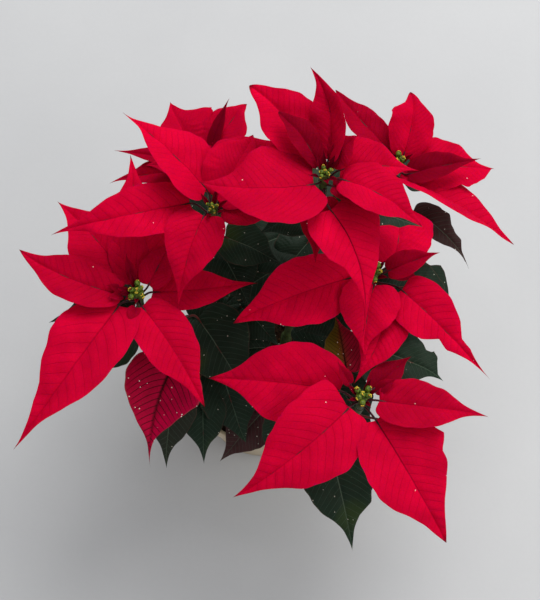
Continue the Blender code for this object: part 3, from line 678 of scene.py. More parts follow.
def half_width(leaf, u, side):
    """Half widths at u, with the small teeth of that side."""
    peak = OUTLINE_BASE / (OUTLINE_BASE + leaf.taper)
    highest = peak**OUTLINE_BASE * (1 - peak) ** leaf.taper
    shape = u**OUTLINE_BASE * (1 - u) ** leaf.taper / highest
    drawn = np.clip((u - PINCH_FROM) / PINCH_SPAN, 0, 1)
    shape = shape * (1 - PINCH * drawn * drawn * (3 - 2 * drawn))
    for tooth_side, place, size in leaf.teeth:
        if tooth_side == side:
            shape = shape + size * np.maximum(0.0, 1 - np.abs(u - place) / TOOTH_HALF)
    return leaf.width / 2 * shape


sample = BLOOMS[2].bracts[1]
print("a large bract at a quarter:", round(2 * half_width(sample, 0.25, 1), 1), "mm wide")

# %% [markdown]
# ## What makes a blade look alive
#
# A flat blade looks cut from paper. A real one is quilted between its side veins, channelled along
# its midrib, and rippled a little at its margin, which is never quite smooth. Displacement by a
# texture would not know where the veins are. So each point of the grid is lifted off the flat form
# by a sum of small waves, each blade in its own way from six seeded phases. Slender blades and
# narrow tips are too stiff to swell, so the swells and the quilting fade there.

# %% The margin and the lift of a blade
EDGE_WAVES = {1: ((0.018, 19), (0.012, 43)), -1: ((0.018, 17), (0.012, 47))}
CUPPING = 0.35
WAVE = 0.022
WAVE_COUNT = 2.2
RIPPLE = 0.010
SWELL = 0.8
SWELL_LENGTH = 27.0
SLENDER = 9.0
MIDRIB_DEPTH = 0.5
MIDRIB_HALF = 1.1


def wavy_half(leaf, u, side, phases):
    """Half widths of one side, with its teeth and a fine uneven margin."""
    uneven = 1.0
    for (size, rate), phase in zip(EDGE_WAVES[side], phases):
        uneven = uneven + size * np.sin(rate * u + phase)
    return half_width(leaf, u, side) * uneven


def lift_off(leaf, u, v, half, length, quilt, phase):
    """How far the grid stands off its flat form: fold, waves, ripples, swells, quilt and midrib."""
    across = half * v
    middle = (4 * u * (1 - u))[:, None]
    soft = np.minimum(1, half / SLENDER)
    lift = half * math.sin(math.radians(leaf.fold)) * (np.abs(v) - CUPPING * v * v)
    wave = WAVE * leaf.width * np.sin(TURN * (WAVE_COUNT * u + leaf.toward / 90))
    lift = lift + wave[:, None] * v * v * middle
    ripple = np.where(v > 0, 1.0, -1.0) * np.sin(np.outer(u, 23 + 4 * (v > 0)) + phase[4])
    lift = lift + RIPPLE * leaf.width * ripple * np.abs(v) ** 3 * middle
    hills = np.sin(length / SWELL_LENGTH * u * TURN + phase[5])[:, None]
    hills = hills * np.cos(TURN * across / SWELL_LENGTH + phase[4])
    lift = lift + SWELL * hills * middle * (1 - v**4) * soft
    between = 0.5 - 0.5 * np.cos(TURN * vein_steps(u[:, None], across / length))
    lift = lift + quilt * between * ((1 - v**4) * soft * np.minimum(1, np.abs(across) / 3))
    return lift - MIDRIB_DEPTH * np.exp(-((across / MIDRIB_HALF) ** 2)) * np.minimum(1, half / 6)


places = np.linspace(0, 1, 200)
uneven = wavy_half(sample, places, 1, (0.0, 0.0)) - half_width(sample, places, 1)
print("its margin wavers by up to", round(np.abs(uneven).max(), 2), "mm")

# %% [markdown]
# ## From a grid to a closed blade
#
# A single sheet of faces has no thickness and tears in a print or a simulation. So each blade is
# two grids that share their margin, 0.45 mm apart in the middle: a closed thin lens. Both follow
# the same lift, so the veins stand out below just as they sink in above. Near the base the margin
# is pushed back past the stalk, which rounds the base into two low lobes. Rows are closest at the
# ends and columns at the midrib, where the form changes fastest. Slender blades need fewer.

# %% Two grids that share their margin
def closed_sheet(rows, columns):
    """The faces of two grids with one margin, and the point numbers of the upper grid."""
    count = (rows + 1) * (columns + 1)
    top = np.arange(count).reshape(rows + 1, columns + 1)
    low = top + count
    for grid in (top, low):
        grid[0, :] = top[0, 0]
        grid[-1, :] = top[-1, 0]
    low[:, 0] = top[:, 0]
    low[:, -1] = top[:, -1]
    faces = []
    for grid, order in ((top, (0, 1, 2, 3)), (low, (3, 2, 1, 0))):
        corners = (grid[:-1, :-1], grid[1:, :-1], grid[1:, 1:], grid[:-1, 1:])
        quads = np.stack([corners[i] for i in order], axis=-1).reshape(-1, 4)
        faces.extend(tuple(dict.fromkeys(quad)) for quad in quads.tolist())
    return faces, top


print("two small grids:", len(closed_sheet(3, 2)[0]), "faces")

# %% Blade builder
Shape = namedtuple("Shape", "points faces look blade marks margin", defaults=(None, None, None))
BLADE_THICK = 0.45
LOBE = 0.1
LOBE_AT = 0.05
ROWS_WIDE, COLUMNS_WIDE = 68, 20
ROWS_SMALL, COLUMNS_SMALL = 28, 8
ROW_CROWDING = 0.07
COLUMN_CROWDING = 1.25
SMALL_WIDTH = 16


def blade(leaf, head, look, quilt, tone, seed, rib=1.0):
    """One closed blade, with its own map and its four marks: margin, underside, tone, midrib."""
    small = leaf.width < SMALL_WIDTH
    rows, columns = (ROWS_SMALL, COLUMNS_SMALL) if small else (ROWS_WIDE, COLUMNS_WIDE)
    steps = np.linspace(0, 1, rows + 1)
    u = steps - ROW_CROWDING * np.sin(TURN * steps)
    spread = np.linspace(-1, 1, columns + 1)
    v = np.sign(spread) * np.abs(spread) ** COLUMN_CROWDING
    line, along = midrib(leaf, head, u)
    length = np.linalg.norm(line[-1] - line[0])
    left = unit(np.cross(UP, along))
    normal = np.cross(along, left)
    roll = math.radians(leaf.roll)
    side = left * math.cos(roll) + normal * math.sin(roll)
    out = normal * math.cos(roll) - left * math.sin(roll)

    phase = np.random.default_rng(seed).uniform(0, TURN, 6)
    left_half = wavy_half(leaf, u, 1, phase[:2])
    right_half = wavy_half(leaf, u, -1, phase[2:4])
    half = np.where(v[None, :] > 0, left_half[:, None], right_half[:, None])
    across = half * v
    lift = lift_off(leaf, u, v, half, length, quilt, phase)
    flat = (across * math.cos(math.radians(leaf.fold)))[..., None]
    surface = line[:, None, :] + side[:, None, :] * flat
    surface = surface + out[:, None, :] * lift[..., None]
    back = LOBE * leaf.width * (u / LOBE_AT * np.exp(1 - u / LOBE_AT))[:, None] * np.abs(v)
    surface = surface - along[:, None, :] * back[..., None]
    lens = BLADE_THICK / 2 * (1 - v**6) * (4 * u * (1 - u))[:, None] ** 0.25
    thick = lens[..., None] * out[:, None, :]

    faces, top = closed_sheet(rows, columns)
    points = np.vstack([(surface + thick).reshape(-1, 3), (surface - thick).reshape(-1, 3)])
    chart = np.stack([np.broadcast_to(u[:, None], across.shape), across / length], axis=-1)
    marks = np.ones((2, across.size, 4))
    marks[:, :, 0] = np.broadcast_to(np.abs(v), across.shape).ravel()
    marks[:, :, 1] = np.array([0.0, 1.0])[:, None]
    marks[:, :, 2] = tone(u[:, None], v[None, :]).ravel() if callable(tone) else tone
    marks[:, :, 3] = rib
    margin = np.zeros(len(points), bool)
    margin[top[:, 0]] = margin[top[:, -1]] = True
    blade_map = np.tile(chart.reshape(-1, 2), (2, 1))
    return Shape(points, faces, look, blade_map, marks.reshape(-1, 4), margin)


tried = blade(sample, BLOOMS[2].head, BRACT_SKIN, 0.4, 0.5, 1)
print("one wide blade:", len(tried.faces), "faces")

# %% [markdown]
# ## Many shapes, one piece
#
# The frame has one node for each head, stem and cluster, and one piece stands for each node. So a
# helper packs many closed shapes into one mesh, drops the spare points, gives each face its
# material, writes the blade map and marks, and sharpens the margins so that light doesn't smear
# round a leaf's edge. Every piece rides on the plant's one body, called root.

# %% Piece builder
def write_maps(mesh, shapes, used):
    """Writes the blade map, the marks and the sharp margins of a piece with blades."""
    charts, marks, margins = [], [], []
    for shape in shapes:
        size = len(shape.points)
        bare = shape.blade is None
        charts.append(np.full((size, 2), 0.5) if bare else shape.blade)
        marks.append(np.zeros((size, 4)) if bare else shape.marks)
        margins.append(np.zeros(size, bool) if bare else shape.margin)
    corners = np.zeros(len(mesh.loops), int)
    mesh.loops.foreach_get("vertex_index", corners)
    chart = mesh.uv_layers.new(name="blade")
    chart.data.foreach_set("uv", np.vstack(charts)[used][corners].ravel())
    facts = mesh.attributes.new("marks", "FLOAT_COLOR", "POINT")
    facts.data.foreach_set("color", np.vstack(marks)[used].ravel())
    margin = np.concatenate(margins)[used]
    ends = np.zeros(len(mesh.edges) * 2, int)
    mesh.edges.foreach_get("vertices", ends)
    sharp = margin[ends[::2]] & margin[ends[1::2]]
    mesh.edges.foreach_set("use_edge_sharp", sharp.tolist())


def piece(name, shapes, slot, *nodes):
    """One mesh object of many shapes, given in millimetres, that stands for these CAD nodes."""
    faces, looks, start = [], [], 0
    for shape in shapes:
        faces.extend(tuple(start + i for i in face) for face in shape.faces)
        looks.extend([shape.look] * len(shape.faces))
        start += len(shape.points)
    points = np.vstack([shape.points for shape in shapes])
    used = np.zeros(len(points), bool)
    used[np.concatenate([np.array(face) for face in faces])] = True
    renumber = np.cumsum(used) - 1
    mesh = bpy.data.meshes.new(name)
    mesh.from_pydata((points[used] * MM).tolist(), [], [tuple(renumber[list(f)]) for f in faces])
    kinds = list(dict.fromkeys(looks))
    for look in kinds:
        mesh.materials.append(look)
    mesh.polygons.foreach_set("material_index", [kinds.index(look) for look in looks])
    mesh.polygons.foreach_set("use_smooth", [True] * len(faces))
    if any(shape.blade is not None for shape in shapes):
        write_maps(mesh, shapes, used)
    mesh.update()
    obj = bpy.data.objects.new(name, mesh)
    bpy.context.scene.collection.objects.link(obj)
    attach(obj, "root")
    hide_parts(*nodes)
    print(f"{name}: {sum(len(f) - 2 for f in faces)} triangles")
    return obj


print("piece builder ready")

# %% [markdown]
# ## Stalks, branches and other round things
#
# A stalk could be a Blender curve with a bevel. A tube made in mesh code can also swell at its root
# and run out to nothing under the blade, where it becomes the raised midrib that the leaf shows
# from below. Rings of points follow the path, each turned as little as possible from the last.

# %% Tube and lathe builders
SLANTED = (0.31, 0.17, 0.93)
LEVEL = (1, 0.2, 0)
STEEP = 0.9


def skin(rings, look, ends):
    """Joins rings of points into a closed surface, with an end point at each end."""
    count, sides = rings.shape[:2]
    points = np.vstack([rings.reshape(-1, 3), ends])
    index = np.arange(count * sides).reshape(count, sides)
    turned = np.roll(index, -1, axis=1)
    quads = np.stack([index[:-1], turned[:-1], turned[1:], index[1:]], axis=-1).reshape(-1, 4)
    faces = [tuple(quad) for quad in quads.tolist()]
    first, last = count * sides, count * sides + 1
    faces += [(first, int(b), int(a)) for a, b in zip(index[0], turned[0])]
    faces += [(last, int(a), int(b)) for a, b in zip(index[-1], turned[-1])]
    return Shape(points, faces, look)


def tube(path, radii, look, sides=10):
    """A closed round tube along a path, with a radius at each point."""
    path = np.asarray(path, float)
    ways = unit(np.gradient(path, axis=0))
    across = unit(np.cross(ways[0], SLANTED if abs(ways[0][2]) < STEEP else LEVEL))
    angles = np.linspace(0, TURN, sides, endpoint=False)
    rings = []
    for point, way, radius in zip(path, ways, radii):
        across = unit(across - way * np.dot(across, way))
        other = np.cross(way, across)
        ring = np.outer(np.cos(angles), across) + np.outer(np.sin(angles), other)
        rings.append(point + radius * ring)
    return skin(np.array(rings), look, (path[0], path[-1]))


def lathe(profile, look, sides=16, lobes=None):
    """A closed turned form from a profile of (radius, height) points that run upwards."""
    angles = np.linspace(0, TURN, sides, endpoint=False)
    rings = []
    for i, (radius, height) in enumerate(profile):
        wavy = radius * (1 + (lobes[i] * np.cos(5 * angles) if lobes else 0))
        level = np.full(sides, float(height))
        rings.append(np.stack([wavy * np.cos(angles), wavy * np.sin(angles), level], 1))
    ends = ([0, 0, profile[0][1]], [0, 0, profile[-1][1]])
    return skin(np.array(rings), look, ends)


def placed(shape, origin, lean=0.0, turn=0.0, scale=1.0):
    """The shape scaled, leaned outwards, turned about the upright and moved, in that order."""
    a, b = math.radians(lean), math.radians(turn)
    tilt = np.array([[math.cos(a), 0, math.sin(a)], [0, 1, 0], [-math.sin(a), 0, math.cos(a)]])
    spin = np.array([[math.cos(b), -math.sin(b), 0], [math.sin(b), math.cos(b), 0], [0, 0, 1]])
    return shape._replace(points=scale * shape.points @ (spin @ tilt).T + np.asarray(origin))


tried = tube([(0, 0, 0), (0, 0, 9)], [1, 1], LEAF_STALK)
print("a plain tube of two rings:", len(tried.faces), "faces")

# %% A stalk that runs on as the midrib below its blade
RIB_END = 0.92
ROOT_SWELL = 0.35
RIB_THINNING = 0.82


def bent(start, first, second, end, t):
    """Points of a curve that leaves start towards first and comes to end from second."""
    t = np.asarray(t)[:, None]
    points = (1 - t) ** 3 * start + 3 * t * (1 - t) ** 2 * first
    return points + 3 * t**2 * (1 - t) * second + t**3 * end


def stalk(leaf, head, root, radius, look):
    """A leaf stalk from its root to the blade's base, then on below the blade as its midrib."""
    u = np.linspace(0, RIB_END, 24)
    rib, along = midrib(leaf, head, u)
    base = rib[0]
    reach = np.linalg.norm(base - root)
    first = root + unit(base - root) * reach * 0.4
    second = base - along[0] * reach * 0.35
    t = np.linspace(0, 1, 12)[:-1]
    leg_radii = radius * (1 + ROOT_SWELL * (1 - t) ** 3)
    down = np.cross(unit(np.cross(UP, along)), along)
    rib_radii = radius * (0.95 - RIB_THINNING * u**0.6)
    depth = down * (rib_radii * 0.55 + 0.25 + MIDRIB_DEPTH)[:, None]
    sunk = rib + depth * np.minimum(1, u * 12)[:, None]
    path = np.vstack([bent(root, first, second, base, t), sunk])
    return tube(path, np.concatenate([leg_radii, rib_radii]), look)


tried = stalk(sample, BLOOMS[2].head, np.array(BLOOMS[2].head, float), 0.85, BRACT_STALK)
print("one bract stalk with its midrib:", len(tried.faces), "faces")

# %% [markdown]
# ## The heads of bracts
#
# Each head is a short stem tip that its bract stalks grow out of, close together and at slightly
# different heights. The large, old bracts are below and brightest, and smaller, younger ones are
# deeper in colour. That is the tone of each blade. A formula gives it from the blade's width, and
# tables then shift single heads and bracts lighter or darker. These shifts are partly painted
# light and shade, for the light and shadow that each stands in, and partly because on a real
# plant no two are quite the same red.
# Most midribs are faint, and a few stand out dark. Two heads carry a lowest leaf that still turns.

# %% What each head has of its own
OLD_WIDTH = 44
YOUNG_TONE = 0.2
AGE_TONE = 0.54
TONE_SPREAD = 0.04
# Painted light and shade: these shifts make heads and bracts lighter or darker for the light and
# shadow they stand in, as well as for their own red.
HEAD_TONES_AND_PAINTED_LIGHT = {"right": 0.08, "upper_left": 0.04, "top": -0.05}
TONE_AND_PAINTED_LIGHT_SHIFTS = {
    "top": {0: -0.08, 1: 0.12, 2: -0.2, 3: 0.1, 4: -0.08, 7: 0.1},
    "left": {0: -0.08},
    "front_right": {3: -0.14, 5: -0.3},
    "right": {0: 0.12, 4: -0.2, 6: -0.25},
    "back_right": {0: -0.14, 2: -0.3},
    "back_left": {1: -0.2},
}
PALE_RIB = 0.36
DARK_RIBS = {("top", 7): 0.95, ("front_right", 2): 0.75, ("top", 0): 0.45}
TURNING_TONES = {"left": (0.0, 0.03), "front_right": (0.92, 0.08)}


def age_of(leaf):
    """How far a bract has grown: 1 is full size."""
    return min(1.0, leaf.width / OLD_WIDTH)


def bract_tone(bloom, i, leaf, seed):
    """Bract red: its age, its head, a small draw and its own shift, partly painted light and shade.
    """
    tone = YOUNG_TONE + AGE_TONE * age_of(leaf) + HEAD_TONES_AND_PAINTED_LIGHT.get(bloom.name, 0)
    tone += np.random.default_rng(seed).uniform(-TONE_SPREAD, TONE_SPREAD)
    return tone + TONE_AND_PAINTED_LIGHT_SHIFTS.get(bloom.name, {}).get(i, 0)


def turning_tone(shares):
    """How olive a turning leaf is at each place: one share for its left half, one for its right."""
    left, right = shares
    return lambda u, v: right + (left - right) / (1 + np.exp(-9 * v)) + 0 * u


print("tone of the first top bract:", round(bract_tone(BLOOMS[0], 0, BLOOMS[0].bracts[0], 0), 2))

# %% [markdown]
# The youngest bracts still stand up round the cyathia: four to six slender dark ones a head, 10 to
# 22 mm long. They are finer than the frame's solids, so they are drawn here alone. Each is one more
# blade on a stalk of its own, from a pair that says where it points and how long it is.

# %% Young bracts round the cyathia
YOUNG_BRACTS = {
    "top": ((45, 22), (92, 15), (118, 13), (-47, 16), (-80, 13), (205, 12)),
    "upper_left": ((-31, 10), (15, 13), (75, 14), (135, 12), (250, 12)),
    "left": ((200, 16), (225, 13), (178, 17), (112, 18), (268, 12)),
    "front_right": ((60, 14), (150, 14), (205, 12), (300, 12), (15, 12)),
    "right": ((40, 13), (75, 13), (-30, 13), (-85, 12)),
    "back_right": ((20, 13), (140, 13), (230, 12), (320, 12)),
    "back_left": ((0, 13), (100, 12), (200, 14), (300, 12)),
}
YOUNG_FORM = dict(arch=1, fold=30, roll=0, sway=0, stalk=5, stalk_turn=0, stalk_drop=3)
YOUNG_WIDTH = 0.34
YOUNG_QUILT = 0.1
YOUNG_STALK_RADIUS = 0.4
YOUNG_SEED = 700


def young_bracts(bloom, number):
    """The ring of young bracts of one head."""
    draw = np.random.default_rng(YOUNG_SEED + number)
    shapes = []
    for toward, size in YOUNG_BRACTS[bloom.name]:
        tip = dict(reach=5 + 0.7 * size, rise=0.6 * size)
        leaf = Leaf(toward=toward, width=YOUNG_WIDTH * size, **tip, **YOUNG_FORM)
        root = np.array(bloom.head, float) + polar(2.5, toward, -6)
        tone = draw.uniform(0.0, 0.16)
        seed = YOUNG_SEED + toward
        shapes.append(blade(leaf, bloom.head, BRACT_SKIN, YOUNG_QUILT, tone, seed))
        shapes.append(stalk(leaf, bloom.head, root, YOUNG_STALK_RADIUS, BRACT_STALK))
    return shapes


print("young bracts:", sum(len(pairs) for pairs in YOUNG_BRACTS.values()))

# %% Build the heads
HUB_LENGTH = 26.0
HUB_TOP = 2.0
HUB_RADIUS = 3.4
HUB_SWELL = 0.5
HUB_SWELL_FROM = -14
HUB_RIBS_FROM = -20
STALK_SINK = 9.0
STALK_LOWEST = 3.0
STALK_RADIUS = 0.85
SLIM_STALK_RADIUS = 0.62
BRACT_QUILT = 0.68


def hub(bloom):
    """The stem tip: it swells and is ribbed where the stalks leave it."""
    top = np.array(bloom.head, float) - UP * HUB_TOP
    heights = np.linspace(-HUB_LENGTH, 0, 14)
    radii = HUB_RADIUS + HUB_SWELL * np.sin(0.9 * heights) * (heights > HUB_RIBS_FROM)
    radii = radii + HUB_SWELL * (heights > HUB_SWELL_FROM)
    return tube([top + UP * h for h in heights], radii, YOUNG_STEM, 14)


def bract_head(bloom, number):
    """All shapes of one head: the stem tip, the young bracts, and each large blade and stalk."""
    shapes = [hub(bloom), *young_bracts(bloom, number)]
    for i, leaf in enumerate((*bloom.bracts, *bloom.turning)):
        seed = 100 * number + i
        if i < len(bloom.bracts):
            quilt, tone = BRACT_QUILT * age_of(leaf), bract_tone(bloom, i, leaf, seed)
            rib = DARK_RIBS.get((bloom.name, i), PALE_RIB)
            shapes.append(blade(leaf, bloom.head, BRACT_SKIN, quilt, tone, seed, rib))
        else:
            tone = turning_tone(TURNING_TONES[bloom.name])
            shapes.append(blade(leaf, bloom.head, TURNING_SKIN, BRACT_QUILT, tone, seed))
        depth = min(STALK_SINK + max(leaf.stalk_drop, 0), HUB_LENGTH - STALK_LOWEST)
        root = np.array(bloom.head, float) - UP * depth
        radius = SLIM_STALK_RADIUS if leaf.width < SMALL_WIDTH else STALK_RADIUS
        shapes.append(stalk(leaf, bloom.head, root, radius, BRACT_STALK))
    return shapes


for number, bloom in enumerate(BLOOMS):
    shapes = bract_head(bloom, number)
    piece("red_bracts_" + bloom.name, shapes, "red_bract", "bracts_" + bloom.name)

# %% [markdown]
# ## The cyathia
#
# Up close each cyathium is a ribbed green cup, about 6 mm tall, with a yellow gland on its shoulder
# that looks like a lip, and a tuft of red threads with yellow tips in its mouth. Young ones are
# still closed buds. One cup is turned on a lathe with five soft lobes. The gland and the threads
# are other small turned forms and tubes, set in place by given numbers and by a seeded draw.

# %% One cyathium
CUP_SIDE = [(0.7, -0.6), (1.5, 0.2), (2.1, 1.3), (2.45, 2.6), (2.4, 3.8), (1.95, 4.8), (1.5, 5.3)]
CUP_SIDE_LOBES = [0, 0.02, 0.04, 0.05, 0.06, 0.09, 0.14]
CUP_MOUTH = [(1.15, 5.35), (0.9, 4.7), (0.5, 4.2)]
BUD_TOP = [(0.9, 5.6), (0.35, 5.8)]
TOP_LOBE = 0.12
GLAND = [(0.2, -0.55), (0.95, -0.35), (1.2, 0.1), (1.0, 0.45), (0.6, 0.3), (0.3, 0.05)]
GLAND_STRETCH = (0.8, 1.25, 0.9)
GLAND_LEAN = 62
GLAND_PLACE = (2.25, 0, 4.15)
THREADS = 7
THREAD_RADII = [0.17, 0.15, 0.13]
POLLEN_TIP = [(0.2, -0.28), (0.36, 0.0), (0.2, 0.28)]


def cyathium(opened, seed):
    """One cup at the origin, with its gland, and with threads where it is open."""
    draw = np.random.default_rng(seed)
    top = CUP_MOUTH if opened else BUD_TOP
    shapes = [lathe(CUP_SIDE + top, CUP_SKIN, 20, CUP_SIDE_LOBES + [TOP_LOBE] * len(top))]
    gland = lathe(GLAND, GLAND_SKIN, 14)
    gland = gland._replace(points=gland.points * np.array(GLAND_STRETCH))
    shapes.append(placed(gland, GLAND_PLACE, GLAND_LEAN))
    for _ in range(THREADS if opened else 0):
        way, far = draw.uniform(0, 360), draw.uniform(0.15, 0.8)
        foot = polar(far * 0.5, way, 4.0)
        tip = polar(far * 1.5, way, draw.uniform(6.2, 7.3))
        path = [foot, (foot + tip) / 2 + polar(0.1, way), tip]
        shapes.append(tube(path, THREAD_RADII, THREAD_SKIN, 6))
        shapes.append(placed(lathe(POLLEN_TIP, POLLEN_SKIN, 8), tip))
    return shapes


print("shapes in an open cyathium:", len(cyathium(True, 0)), "in a bud:", len(cyathium(False, 0)))

# %% [markdown]
# A head has a tight cluster of them on a small green pad. Six are set out by the golden angle, as
# the plant does, and lean out a little more the further out they stand. Three of the six are open.
# On two of the heads the whole cluster is still small, which the head's growth gives.

# %% Build the cyathia
FIT_GAP = 0.3
PAD = [(3.2, 0.0), (4.4, 0.7), (5.0, 1.8), (4.3, 2.6), (2.0, 3.0)]
PAD_HEIGHT = 2.6
CUP_SEAT = 0.6
CUP_COUNT = 6
CUP_SPACING = 2.5
CUP_LEAN = 4.5
OPEN_CUPS = (0, 2, 3)
GOLDEN_ANGLE = 137.508
CUP_SEED = 1000


def cluster(bloom, number):
    """The shapes of one cluster: a pad, and six cyathia that lean outwards."""
    growth = bloom.growth
    base = np.array(bloom.head, float) + UP * (FIT_GAP - HUB_TOP)
    shapes = [placed(lathe(PAD, CUP_SKIN, 24), base, scale=growth)]
    for i in range(CUP_COUNT):
        out = growth * CUP_SPACING * math.sqrt(i)
        turn = GOLDEN_ANGLE * i + bloom.head[0]
        bottom = base + polar(out, turn, PAD_HEIGHT * CUP_SEAT)
        for shape in cyathium(i in OPEN_CUPS, CUP_SEED + 10 * number + i):
            shapes.append(placed(shape, bottom, CUP_LEAN * out / growth, turn, growth))
    return shapes


for number, bloom in enumerate(BLOOMS):
    piece("cyathia_cups_" + bloom.name, cluster(bloom, number), "cyathium", "cyathia_" + bloom.name)

# %% [markdown]
# ## The leafy stems
#
# Under the red heads the plant is a small shrub. Three stems stand in the potting mix, fork, and
# send a branch up under each head, with dark green leaves on long red stalks all the way. Branches
# are smooth curves here, where the frame has a few straight steps. They swell at each leaf's knot.

# %% The lines of the branches
HEAD_PLACES = {bloom.name: bloom.head for bloom in BLOOMS}
BRANCH_STEPS = 5
BRANCH_FINE = 40
BRANCH_END = 5.0
FORK_SINK = 3.0


def branch_line(fork, head, steps):
    """The branch leaves the fork sideways and comes up straight under its head."""
    start = np.array(fork, float) - UP * FORK_SINK
    end = np.array(head, float) - UP * (HUB_TOP + HUB_LENGTH + FIT_GAP + BRANCH_END)
    span = end - start
    first = start + span * np.array([0.45, 0.45, 0.25])
    second = end - UP * 0.45 * span[2]
    line = bent(start, first, second, end, np.linspace(0, 1, steps + 1))
    return np.vstack([line, end + UP * BRANCH_END])


def on_line(line, place):
    """The point at this share of a line, counted in its equal steps."""
    spot = place * BRANCH_STEPS
    i = int(spot)
    return line[i] + (line[i + 1] - line[i]) * (spot - i)


left_branch = branch_line(STEMS[0].fork, HEAD_PLACES["left"], BRANCH_FINE)
print("left branch:", round(np.linalg.norm(np.diff(left_branch, axis=0), axis=1).sum()), "mm long")

# %% Build the leafy stems
SOIL_LEVEL = 116.0
SOIL_MOUND = 5.0
STEM_DEPTH = 34.0
STEM_RADIUS = 5.0
STEM_WAIST = 0.06
BRANCH_RADIUS = 3.6
BRANCH_WAIST = 0.2
KNOT_SWELL = 0.55
KNOT_LENGTH = 0.03
LEAF_STALK_RADIUS = 1.0
LEAF_QUILT = 0.6
LEAF_SEED = 5000
PURPLE_FLUSH = {("front_right", 1): 0.95, ("back_right", 3): 0.8, ("left", 3): 0.2}
NO_FLUSH = 0.0


def leafy_stem(stem, number):
    """All shapes of one stem: its trunk, branches, leaf stalks and leaves."""
    foot = np.array([*stem.foot, SOIL_LEVEL + SOIL_MOUND - STEM_DEPTH + FIT_GAP])
    fork = np.array(stem.fork, float)
    t = np.linspace(0, 1, 16)[:, None]
    knee = foot + UP * STEM_DEPTH
    trunk = (1 - t) ** 2 * foot + 2 * t * (1 - t) * knee + t**2 * fork
    swell = [STEM_RADIUS * (1 - STEM_WAIST * math.sin(7 * x)) for x in t[:, 0]]
    shapes = [tube(trunk, swell, YOUNG_STEM, 16)]
    for branch, leaves in stem.branches.items():
        rough = branch_line(fork, HEAD_PLACES[branch], BRANCH_STEPS)
        smooth = branch_line(fork, HEAD_PLACES[branch], BRANCH_FINE)
        shares = np.append(np.linspace(0, 1, BRANCH_FINE + 1), 1.05)
        radii = np.full(len(smooth), BRANCH_RADIUS - BRANCH_WAIST)
        for place, _ in leaves:
            radii += KNOT_SWELL * np.exp(-(((shares - place) / KNOT_LENGTH) ** 2))
        shapes.append(tube(smooth, radii, YOUNG_STEM, 14))
        for i, (place, leaf) in enumerate(leaves):
            knot = on_line(rough, place)
            tone = PURPLE_FLUSH.get((branch, i), NO_FLUSH)
            seed = LEAF_SEED + 100 * number + 10 * len(shapes) + i
            shapes.append(blade(leaf, knot, LEAF_SKIN, LEAF_QUILT, tone, seed))
            shapes.append(stalk(leaf, knot, knot, LEAF_STALK_RADIUS, LEAF_STALK))
    return shapes


for number, stem in enumerate(STEMS):
    piece("leafy_stem_" + stem.name, leafy_stem(stem, number), "green_leaf", "stem_" + stem.name)

# %% [markdown]
# ## The pot
#
# Only a glimpse of the pot shows under the leaves: a plain tan one, most likely moulded in
# polypropylene, which has a waxy half-gloss and faint clouds where the melt flowed. Its mould was
# spark-eroded, which leaves an even grain. The real grain is finer than the render can show, so it
# is drawn 0.5 mm wide. Watering splashes a little soil on the lowest 50 mm.

# %% Moulded polypropylene
POLYPROPYLENE_IOR = 1.49
POLYPROPYLENE_ROUGHNESS = 0.42
FLOW_CLOUDS = pattern_scale(40)
SPLASHES = pattern_scale(11.1)
MOULD_GRAIN = pattern_scale(0.5)
SPLASH_TOP = 50 * MM


def moulded_polypropylene():
    """Tan moulded polypropylene: a waxy half-gloss, faint clouds, a spark-eroded grain."""
    look = new_material("moulded_polypropylene", POLYPROPYLENE_ROUGHNESS, POLYPROPYLENE_IOR)
    material, tree, shader = look
    where = add_node(tree, "TexCoord").outputs["Object"]
    cloud = add_node(tree, "TexNoise", {"Vector": where, "Scale": FLOW_CLOUDS, "Detail": 4.0})
    rise = add_node(tree, "SeparateXYZ", {0: where}).outputs["Z"]
    splash = add_node(tree, "TexNoise", {"Vector": where, "Scale": SPLASHES, "Detail": 6.0})
    low = add_node(tree, "MapRange", {0: rise, 1: 0.0, 2: SPLASH_TOP, 3: 0.7, 4: 0.2})
    dirt = add_node(tree, "Math", {0: splash, 1: low}, operation="MULTIPLY")
    dusty = add_node(tree, "MapRange", {0: dirt, 1: 0.18, 2: 0.45, 3: 0.0, 4: 1.0})
    paint(tree, shader, "#BCA888", [(cloud, 1.0, "#CDBB9E"), (dusty, 0.35, "#7D6A50")])
    rough = add_node(tree, "MapRange", {0: splash, 1: 0.3, 2: 0.7, 3: 0.36, 4: 0.52})
    tree.links.new(rough.outputs[0], shader.inputs["Roughness"])
    grain = add_node(tree, "TexNoise", {"Vector": where, "Scale": MOULD_GRAIN, "Detail": 2.0})
    bump = add_node(tree, "Bump", {"Strength": 0.12, "Distance": 0.1 * MM, "Height": grain})
    tree.links.new(bump.outputs[0], shader.inputs["Normal"])
    return material


POT_PLASTIC = moulded_polypropylene()
print("made", POT_PLASTIC.name)

# %% [markdown]
# A nursery pot is a thin tapered shell with a stepped rim. It is turned from a profile here, with
# its edges rounded by extra pairs of points, since a mould leaves no sharp ones. The wall leans out
# on its way up, so that the pot slips out of its mould.

# %% The pot's profile
POT_HEIGHT = 130.0
POT_TOP_RADIUS = 75.0
POT_FOOT_RADIUS = 54.0
POT_WALL = 2.6
POT_FLOOR = 3.5
RIM_HEIGHT = 22.0
RIM_STEP = 3.0
RIM_DRAFT = 1.0
FOOT_GROOVE_OUT = 45.0
FOOT_GROOVE_IN = 16.0
FOOT_RECESS = 1.5
POT_SIDES = 144
SHOULDER = POT_HEIGHT - RIM_HEIGHT
RIM_FOOT_RADIUS = POT_TOP_RADIUS - RIM_DRAFT
SHOULDER_RADIUS = RIM_FOOT_RADIUS - RIM_STEP
POT_BOTTOM = FOOT_RECESS + POT_FLOOR
AXIS = 0.5


def inner_radius(height):
    """How far from the axis the pot's inner wall is at a height."""
    taper = (SHOULDER_RADIUS - POT_FOOT_RADIUS) / SHOULDER
    return POT_FOOT_RADIUS + taper * height - POT_WALL


